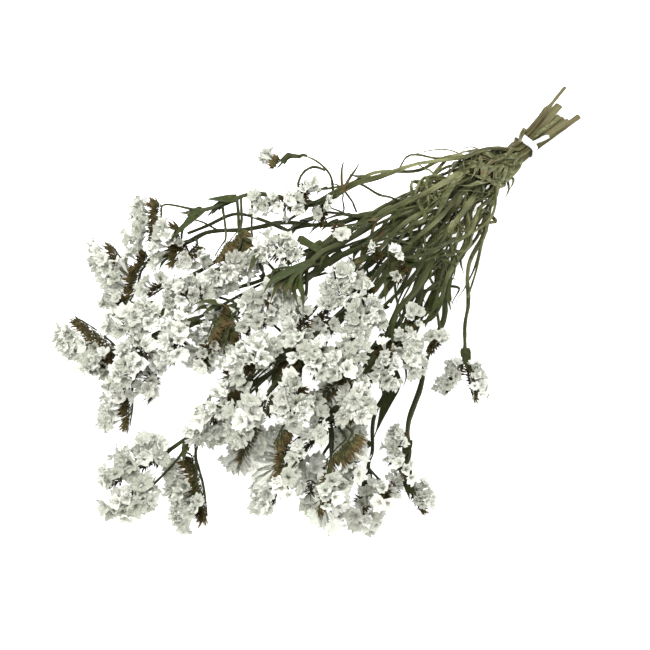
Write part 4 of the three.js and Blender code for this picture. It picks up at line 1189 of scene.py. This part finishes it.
def bract_shape():
    """A narrow pointed scale with a keel, modelled once: its foot is at the origin and its point is up +Z."""
    bpy.ops.mesh.primitive_cone_add(vertices=4, radius1=1, depth=1, end_fill_type="TRIFAN")
    bract = bpy.context.object
    bract.name = "bract_master"
    for v in bract.data.vertices:
        share = BRACT_BELLY if v.co.xy.length > 0.5 else v.co.z + 0.5
        bend = 1.6 * share * share - 0.9 * share
        v.co = Vector((0.5 * BRACT_WIDTH * v.co.x, BRACT_KEEL * v.co.y + bend, share * BRACT_LENGTH)) * MM
    chart = bract.data.uv_layers.active.data
    for loop in bract.data.loops:
        chart[loop.index].uv = (0.5, bract.data.vertices[loop.vertex_index].co.z / (BRACT_LENGTH * MM))
    bpy.ops.object.mode_set(mode="EDIT")
    bpy.ops.mesh.select_all(action="SELECT")
    bpy.ops.mesh.normals_make_consistent(inside=False)
    bpy.ops.object.mode_set(mode="OBJECT")
    bpy.ops.object.shade_smooth_by_angle(angle=math.radians(60))
    return bract


def copies_joined(name, placed):
    """Copies masters, each to its matrix and with its own values, and joins the copies into one piece."""
    batches = []
    for first in range(0, len(placed), BATCH):
        copies = []
        for master, matrix, values in placed[first:first + BATCH]:
            copy = master.copy()
            copy.data = master.data.copy()
            copy.data.transform(matrix)
            for key, value in values.items():
                field = copy.data.attributes.new(key, "FLOAT", "POINT")
                field.data.foreach_set("value", [value] * len(copy.data.vertices))
            bpy.context.scene.collection.objects.link(copy)
            copies.append(copy)
        pick(*copies)
        bpy.ops.object.join()
        batches.append(bpy.context.object)
    pick(*batches)
    bpy.ops.object.join()
    piece = bpy.context.object
    piece.name = name
    piece.data.name = name
    return piece


def bract_material():
    """Olive at the foot, gold and red-brown above, each scale a little different."""
    material, tree, shader = new_material("dried_bract", Roughness=0.6, Specular_IOR_Level=0.15)
    up = node(tree, "SeparateXYZ", Vector=node(tree, "TexCoord").outputs["UV"]).outputs["Y"]
    tone = node(tree, "Attribute", {"attribute_name": "tone"}).outputs["Fac"]
    patches = object_noise(tree, 420, 3)
    gold = mixed(tree, tone, BRACT_GOLD, BRACT_RUST)
    olive = mixed(tree, tone, BRACT_OLIVE, BRACT_GREEN)
    body = mixed(tree, remapped(tree, up, 0.25, 0.8), olive, gold)
    pointed = mixed(tree, remapped(tree, up, 0.82, 1.0, 0, 0.75), body, BRACT_POINT)
    mottled = mixed(tree, remapped(tree, patches.outputs["Fac"], 0.4, 0.66, 0, 0.85), pointed, BRACT_DARK)
    tree.links.new(mottled, shader.inputs["Base Color"])
    bumped(tree, shader, patches.outputs["Fac"], 0.5, 0.0003)
    return material


BRACT_GREEN = (0.04, 0.05, 0.013)
BRACT_OLIVE = (0.07, 0.07, 0.024)
BRACT_GOLD = (0.13, 0.088, 0.032)
BRACT_RUST = (0.1, 0.058, 0.018)
BRACT_POINT = (0.42, 0.35, 0.19)
BRACT_DARK = (0.022, 0.018, 0.005)

dried_bract = bract_material()
bract_master = bract_shape()
bract_master.data.materials.append(dried_bract)
for number, sprig in enumerate(SPRIGS, 1):
    draw = random.Random(300 + number)
    placed = []
    for spike in sprig["spikes"] + sprig["sides"]:
        size = spike.get("cup", spike.get("size", 1))
        tuft = TUFT if "few" in spike else 1
        length = (Vector(spike["tip"]) - Vector(spike["base"])).length / size
        count = max(2, round(length / BRACT_SPACING))
        for k in range(count):
            share = (k + 0.3) / count
            basis = spike_basis(spike, share)
            lean = tuft * (2 * share - 1) * FAN + BRACT_LEAN
            for bract in range(BRACTS):
                angle = tuft * (2 * bract / (BRACTS - 1) - 1) * BRACT_SPREAD
                angle += draw.uniform(-BRACT_STRAY[0], BRACT_STRAY[0])
                aside = abs(math.sin(math.radians(angle)))
                swept = lean + BRACT_SWEEP * aside
                towards_tip = direction(basis, angle, swept + draw.uniform(-BRACT_STRAY[1], BRACT_STRAY[1]))
                back = direction(basis, angle + (90 if angle > 0 else -90), 0) - 0.25 * basis[3]
                outwards = draw.uniform(0, BRACT_FEET[0]) * basis[1]
                along = draw.uniform(-BRACT_FEET[1], BRACT_FEET[1]) * basis[3]
                foot = basis[0] + size * (outwards + along)
                foot += draw.uniform(0, BRACT_OUT) * size * towards_tip
                reach = BRACT_MIDDLE - BRACT_SIDES * aside
                grown = size * reach * draw.uniform(*BRACT_SIZES) * (BRACT_TAPER[0] - BRACT_TAPER[1] * share)
                matrix = standing(towards_tip, back, foot, grown)
                placed.append((bract_master, matrix, {"tone": draw.random()}))
    piece = copies_joined(f"bracts_{number}", placed)
    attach(piece, "root")
bpy.data.objects.remove(bract_master)

# ---- The calyces ----
# The white of statice is its calyx, a thin papery funnel with five pleats and a ragged ruffled rim, which
# stays when the flower has dried away. They stand in a crowded comb along one side of each spike, held by the
# bracts, and some have gone grey-beige.
CALYX_LENGTH = 13.5
CALYX_RINGS = [  # height, radius, depth of the pleats
    (0.42, 0.8, 0.12), (0.74, 1.6, 0.24), (0.88, 2.8, 0.24), (0.95, 4.1, 0.18), (0.98, 5.3, 0.12),
]
CALYX_SIDES = 25
CALYX_WALL = 0.16
CRUMPLES = [(1.0, 2.4), (0.9, 1.0)]  # how far its surface strays from a smooth one, and over what width
CRUMPLE_SEED = 7  # without it the vector noise is offset by the clock
HEAD_CENTRE = 5.6  # from the spike's axis to the point that its flowers spread from
HEAD_PITCH = 5.6
HEAD_OVER = 14  # how much longer than its axis the comb is
HEAD_ROWS = [(-52, -26, 0, 26, 52), (-39, -13, 13, 39)]
FLOWER_SIZES = (0.66, 0.98)
FLOWER_STRAY = (14, 12)  # degrees that a flower strays across the spike and along it
FLOWER_OUT = (-1.2, 3.0)  # how far out along its own direction a flower stands
FLOWER_AGES = (0, 0, 0, 0, 0.15, 0.6)  # how grey a flower may have gone, each of these as often as the next
FLOWER_MIDDLE = 0.7  # share of a flower's length that is tested against the solid
REACH = 2.6  # a flower stays if the head's solid is this near
MISSING = 0.2  # share of the flowers that have dropped off


def lay_map(mesh, places):
    """Gives the mesh a map with these places, and closes the map where it runs round past its seam."""
    uv = mesh.uv_layers.new(name="UVMap")
    for face in mesh.polygons:
        around = [places[i][0] for i in face.vertices]
        for loop, index in zip(face.loop_indices, face.vertices):
            u, height = places[index]
            uv.data[loop].uv = (u + 1 if max(around) - u > 0.5 else u, height)


def close_foot(mesh, bottom):
    """Draws the open ring of these vertices together into a point at the origin."""
    for v in mesh.vertices:
        v.select = v.index in bottom
    for edge in mesh.edges:
        edge.select = all(i in bottom for i in edge.vertices)
    bpy.ops.object.mode_set(mode="EDIT")
    bpy.ops.mesh.select_mode(type="VERT")
    bpy.ops.mesh.extrude_region_move(TRANSFORM_OT_translate={"value": (0, 0, 0)})
    bpy.ops.mesh.merge(type="COLLAPSE")
    bpy.ops.object.mode_set(mode="OBJECT")
    foot = [v for v in mesh.vertices if v.select]
    for v in foot:
        v.co = (0, 0, 0)


def calyx_shape(name, spread, pleat, ruffle, seed):
    """One papery funnel, modelled once: its foot is at the origin and its rim is up +Z."""
    draw = random.Random(seed)
    rings = CALYX_RINGS
    bpy.ops.mesh.primitive_circle_add(vertices=CALYX_SIDES, radius=rings[0][1] * MM, location=(0, 0, 0))
    calyx = bpy.context.object
    calyx.name = name
    bpy.ops.object.mode_set(mode="EDIT")
    bpy.ops.mesh.select_all(action="SELECT")
    for ring in rings[1:]:
        bpy.ops.mesh.extrude_region_move(TRANSFORM_OT_translate={"value": (0, 0, 1 * MM)})
    bpy.ops.object.mode_set(mode="OBJECT")
    mesh = calyx.data
    teeth = [draw.uniform(-1, 1) for _ in range(CALYX_SIDES)]
    phases = [draw.uniform(0, 6.28) for _ in range(4)]
    map_values = {}
    for v in mesh.vertices:
        k = round(v.co.z / MM)
        height, radius, fold = rings[k]
        angle = math.atan2(v.co.y, v.co.x)
        sector = round(angle / (2 * math.pi) * CALYX_SIDES) % CALYX_SIDES
        uneven = angle + 0.3 * math.sin(angle + phases[3]) + 0.2 * math.sin(2 * angle + phases[2])
        wave = math.cos(5 * uneven + phases[0])
        fine = math.cos(9 * angle + phases[1] + 3 * height)
        far = height**3
        r = radius * (1 + (spread - 1) * far) * (1 + pleat * fold * wave + 0.05 * fine * height)
        r *= 1 + 0.12 * far * math.sin(2 * angle + phases[1])
        z = CALYX_LENGTH * (height + ruffle * far * (0.035 * wave + 0.05 * math.cos(2 * uneven + phases[2])))
        z += far * (0.6 * ruffle * fine + 1.1 * teeth[sector] * (k == len(rings) - 1))
        swirl = angle + 0.12 * height * math.sin(2 * angle + phases[3])
        map_values[v.index] = (sector / CALYX_SIDES, height)
        smooth = Vector((r * math.cos(swirl), r * math.sin(swirl), z))
        crumple = Vector()
        for depth, wide in CRUMPLES:
            crumple += depth * noise.noise_vector(smooth / wide + Vector((7 * seed, 0, 0)))
        v.co = (smooth + height * height * crumple) * MM
    lay_map(mesh, map_values)
    close_foot(mesh, [v.index for v in mesh.vertices if map_values[v.index][1] == rings[0][0]])
    bpy.ops.object.mode_set(mode="EDIT")
    bpy.ops.mesh.select_all(action="SELECT")
    bpy.ops.mesh.normals_make_consistent(inside=False)
    bpy.ops.object.mode_set(mode="OBJECT")
    mesh.materials.append(calyx_outside)
    mesh.materials.append(calyx_inside)
    bpy.ops.object.modifier_add(type="SOLIDIFY")
    wall = calyx.modifiers[0]
    wall.thickness = CALYX_WALL * MM
    wall.offset = 0
    wall.use_even_offset = False
    wall.material_offset = 1
    bpy.ops.object.modifier_apply(modifier=wall.name)
    bpy.ops.object.shade_smooth_by_angle(angle=math.radians(12))
    return calyx


def pleat_group():
    """The pleats, veins and crinkle of a papery calyx, whose map runs round it in U and up it in V."""
    group = bpy.data.node_groups.new("calyx_pleats", "ShaderNodeTree")
    for name in ("Height", "Veins", "Crinkle"):
        group.interface.new_socket(name, in_out="OUTPUT", socket_type="NodeSocketFloat")
    out = group.nodes.new("NodeGroupOutput").inputs
    places = node(group, "TexCoord").outputs
    split = node(group, "SeparateXYZ", Vector=places["UV"])
    turns = node(group, "Math", {"operation": "MULTIPLY"}, _0=split.outputs["X"], _1=10 * math.pi)
    wave = node(group, "Math", {"operation": "COSINE"}, _0=turns.outputs[0])
    veins = remapped(group, wave.outputs[0], 0.86, 1.0)
    crinkle = node(group, "TexNoise", Vector=places["Object"], Scale=900.0, Detail=4.0, Roughness=0.7)
    around = node(group, "VectorMath", {"operation": "MULTIPLY"}, _0=places["UV"], _1=(46, 3, 1))
    folds = node(group, "TexNoise", Vector=around.outputs[0], Scale=1.0, Detail=2.0)
    height = node(group, "Math", {"operation": "ADD"}, _0=crinkle.outputs["Fac"], _1=folds.outputs["Fac"])
    group.links.new(height.outputs[0], out["Height"])
    group.links.new(veins, out["Veins"])
    group.links.new(crinkle.outputs["Fac"], out["Crinkle"])
    return group


calyx_pleats = pleat_group()


def calyx_material(name, throat, middle, rim, vein):
    """Papery white that is greener and darker down the funnel; tone and age differ from flower to flower."""
    material, tree, shader = new_material(
        name, Roughness=0.75, Specular_IOR_Level=0.2, Subsurface_Weight=0.35, Subsurface_Scale=0.0006,
        Subsurface_Radius=(1, 1, 1),
    )
    pleats = node(tree, "Group", {"node_tree": calyx_pleats}).outputs
    up = node(tree, "SeparateXYZ", Vector=node(tree, "TexCoord").outputs["UV"]).outputs["Y"]
    tone = node(tree, "Attribute", {"attribute_name": "tone"}).outputs["Fac"]
    age = node(tree, "Attribute", {"attribute_name": "age"}).outputs["Fac"]
    lower = mixed(tree, remapped(tree, up, 0.5, 0.74), throat, middle)
    white = mixed(tree, remapped(tree, up, 0.62, 0.88), lower, rim)
    warm = mixed(tree, remapped(tree, tone, 0.4, 0.95, 0, 0.85), white, CALYX_CREAM)
    veined = mixed(tree, remapped(tree, pleats["Veins"], 0, 1, 0, 0.45), warm, vein)
    aged = mixed(tree, age, veined, CALYX_OLD)
    spotted = mixed(tree, remapped(tree, pleats["Crinkle"], 0.54, 0.72, 0, 0.5), aged, CALYX_SPOT)
    tree.links.new(spotted, shader.inputs["Base Color"])
    bumped(tree, shader, pleats["Height"], 1.0, 0.0013)
    return material


CALYX_CREAM = (0.93, 0.92, 0.81)
CALYX_OLD = (0.55, 0.54, 0.47)
CALYX_SPOT = (0.79, 0.81, 0.76)
calyx_inside = calyx_material(
    "calyx_inside", (0.55, 0.58, 0.43), (0.91, 0.93, 0.91), (0.955, 0.965, 0.965), (0.86, 0.88, 0.84)
)
calyx_outside = calyx_material(
    "calyx_outside", (0.14, 0.14, 0.06), (0.88, 0.9, 0.88), (0.945, 0.955, 0.955), (0.74, 0.76, 0.7)
)

CALYX_FORMS = [  # spread of the rim, depth of the pleats, ruffle
    (1.0, 1.0, 1.0),
    (1.12, 0.8, 1.2),
    (0.92, 1.3, 1.4),
    (0.8, 1.5, 1.1),
    (1.05, 1.1, 1.7),
    (0.66, 1.7, 1.0),
]
noise.seed_set(CRUMPLE_SEED)
masters = [calyx_shape(f"calyx_master_{k}", *form, 40 + k) for k, form in enumerate(CALYX_FORMS)]

for number, sprig in enumerate(SPRIGS, 1):
    for order, spike in enumerate(sprig["spikes"] + sprig["sides"], 1):
        solid = frame["nodes"].get(f"sprig_{number}_head_{order}")
        draw = random.Random(1000 * number + order)
        skin = solid and BVHTree.FromPolygons(
            [v.co for v in solid.data.vertices], [tuple(f.vertices) for f in solid.data.polygons]
        )
        size = spike.get("size", 1)
        tuft = TUFT if "few" in spike else 1
        length = (Vector(spike["tip"]) - Vector(spike["base"])).length / size
        count = max(3, round((length + HEAD_OVER) / HEAD_PITCH))
        placed = []
        for k in range(count):
            share = (k + 0.5) / count
            basis = spike_basis(spike, 0.1 + 0.8 * share)
            for row in HEAD_ROWS[k % 2]:
                lean = tuft * (2 * share - 1) * FAN
                across, along = (draw.uniform(-stray, stray) for stray in FLOWER_STRAY)
                out = direction(basis, tuft * row + across, lean + along)
                foot = basis[0] + size * (HEAD_CENTRE * basis[1] + draw.uniform(*FLOWER_OUT) * out)
                form = draw.choice(masters)
                grown = size * spike.get("bloom", 1) * draw.uniform(*FLOWER_SIZES)
                spin = draw.uniform(0, 6.28)
                values = {"tone": draw.random(), "age": draw.choice(FLOWER_AGES) * draw.random()}
                middle = (foot + FLOWER_MIDDLE * CALYX_LENGTH * size * out) * MM
                outside = skin and skin.find_nearest(middle)[3] > REACH * MM * size
                if outside or draw.random() < spike.get("bare", MISSING):
                    continue
                placed.append((form, standing(out, basis[3], foot, grown, spin), values))
        placed = draw.sample(placed, min(len(placed), spike.get("few", len(placed))))
        piece = copies_joined(f"calyces_{number}_{order}", placed)
        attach(piece, "root")
        if solid:
            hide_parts(solid.name)
for master in masters:
    bpy.data.objects.remove(master)

# ---- The tie ----
# One narrow strip of milky plastic film, wound three times round the stems and pulled tight. Each turn
# creases and laps over the last, and the loose end lies on top of the stems, twisted and creased.
TIE_HALF = (8.25, 5.75)  # of the wound loop, across and up
TIE_CORNER = 3
TIE_TURNS = 3.2
TIE_STRIP = 2.6
TIE_SHIFT = 2.4  # along the stems, from the first turn to the last
TIE_TAIL = [(-2, -3.5, 12.6), (2, -5.5, 13.2), (6, -7.2, 13.8), (9, -8.2, 14.2), (12, -9, 14)]
TIE_TAIL_WIDTH = 2.6
TIE_STEPS = 150
TIE_TAIL_STEPS = 16
FILM = 0.3  # its thickness
FILM_CLEAR = (0.74, 0.76, 0.77)
FILM_MILKY = (0.9, 0.92, 0.93)


def loop_point(share):
    """The point of the rounded loop at a share of its way round, and its outward direction, across and up."""
    flat, tall = TIE_HALF[0] - TIE_CORNER, TIE_HALF[1] - TIE_CORNER
    quarter = math.pi / 2 * TIE_CORNER
    runs = [(2 * tall, (1, 0), (flat, -tall), (0, 1)), (2 * flat, (0, 1), (flat, tall), (-1, 0))]
    runs += [(length, (-n[0], -n[1]), (-c[0], -c[1]), (-d[0], -d[1])) for length, n, c, d in runs]
    walked = share % 1 * sum(run[0] + quarter for run in runs)
    for length, outward, corner, ahead in runs:
        if walked <= length:
            place = Vector(corner) + TIE_CORNER * Vector(outward) + walked * Vector(ahead)
            return place, Vector(outward)
        walked -= length
        if walked <= quarter:
            bend = walked / TIE_CORNER
            outward = math.cos(bend) * Vector(outward) + math.sin(bend) * Vector(ahead)
            return Vector(corner) + length * Vector(ahead) + TIE_CORNER * outward, outward
        walked -= quarter


def wound_place(along, across):
    """A point of the wound strip: along runs from 0 to 1 over all turns, across from -1 to 1."""
    turn = along * TIE_TURNS
    (y, z), outward = loop_point(turn + 0.3)
    x = TIE_SHIFT * (along - 0.5) + 0.5 * TIE_STRIP * across + 0.5 * math.sin(5.1 * turn)
    crease = noise.noise(Vector((x * 0.9, y * 0.5, z * 0.5 + 3 * turn)))
    lift = 0.26 * turn - 0.35 + 0.15 * crease + 0.08 * math.cos(9 * across)
    return Vector((x, y + lift * outward.x, TIE_HALF[1] + 0.3 + z + lift * outward.y))


def loose_place(along, across):
    """A point of the strip's loose end, which twists a little and is creased lengthwise."""
    points = [Vector(p) for p in TIE_TAIL]
    place = along * (len(points) - 1)
    ahead = (spline_place(points, place + 0.05) - spline_place(points, place - 0.05)).normalized()
    twist = 0.5 * math.sin(3 * along)
    side = (Vector((0, 0, 1)).cross(ahead).normalized() + Vector((0, 0, twist))).normalized()
    up = ahead.cross(side)
    half = 0.5 * TIE_TAIL_WIDTH * (1 - 0.25 * along * math.sin(7 * along))
    crease = 0.5 * math.cos(4 * across) + 0.4 * noise.noise(Vector((4 * along, across, 7)))
    return spline_place(points, place) + half * across * side + crease * up


def film_strip(name, place, count):
    """A strip of film, modelled as a long grid and laid where place says, then given its thickness."""
    bpy.ops.mesh.primitive_grid_add(x_subdivisions=count, y_subdivisions=5, size=2)
    strip = bpy.context.object
    strip.name = name
    for v in strip.data.vertices:
        v.co = place(0.5 + 0.5 * v.co.x, v.co.y) * MM
    bpy.ops.object.modifier_add(type="SOLIDIFY")
    strip.modifiers[0].thickness = FILM * MM
    strip.modifiers[0].offset = 0
    bpy.ops.object.modifier_apply(modifier=strip.modifiers[0].name)
    bpy.ops.object.mode_set(mode="EDIT")
    bpy.ops.mesh.select_all(action="SELECT")
    bpy.ops.mesh.normals_make_consistent(inside=False)
    bpy.ops.object.mode_set(mode="OBJECT")
    bpy.ops.object.shade_smooth_by_angle(angle=math.radians(50))
    return strip


tie_milky, tree, shader = new_material(
    "tie_milky", Roughness=0.2, Specular_IOR_Level=0.5, Transmission_Weight=0.3, IOR=1.45,
)
cloudy = object_noise(tree, 210, 2)
film = mixed(tree, remapped(tree, cloudy.outputs["Fac"], 0.35, 0.65), FILM_CLEAR, FILM_MILKY)
tree.links.new(film, shader.inputs["Base Color"])
tree.links.new(remapped(tree, cloudy.outputs["Fac"], 0.3, 0.7, 0.12, 0.4), shader.inputs["Roughness"])
bumped(tree, shader, cloudy.outputs["Fac"], 0.3, 0.0006)

tie = film_strip("tie", wound_place, TIE_STEPS)
loose_end = film_strip("tie_end", loose_place, TIE_TAIL_STEPS)
pick(tie, loose_end)
bpy.ops.object.join()
tie.data.materials.append(tie_milky)
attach(tie, "root")
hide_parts("tie_band")

for section in (stem_section, stalk_section, leaf_section):
    bpy.data.objects.remove(section)

# ---- Where it touches the table ----
# What would reach into the table top lies pressed flat on it.
TABLE_GAP = 0.05

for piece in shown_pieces():
    if "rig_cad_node" not in piece:
        for v in piece.data.vertices:
            v.co.z = max(v.co.z, TABLE_GAP * MM)
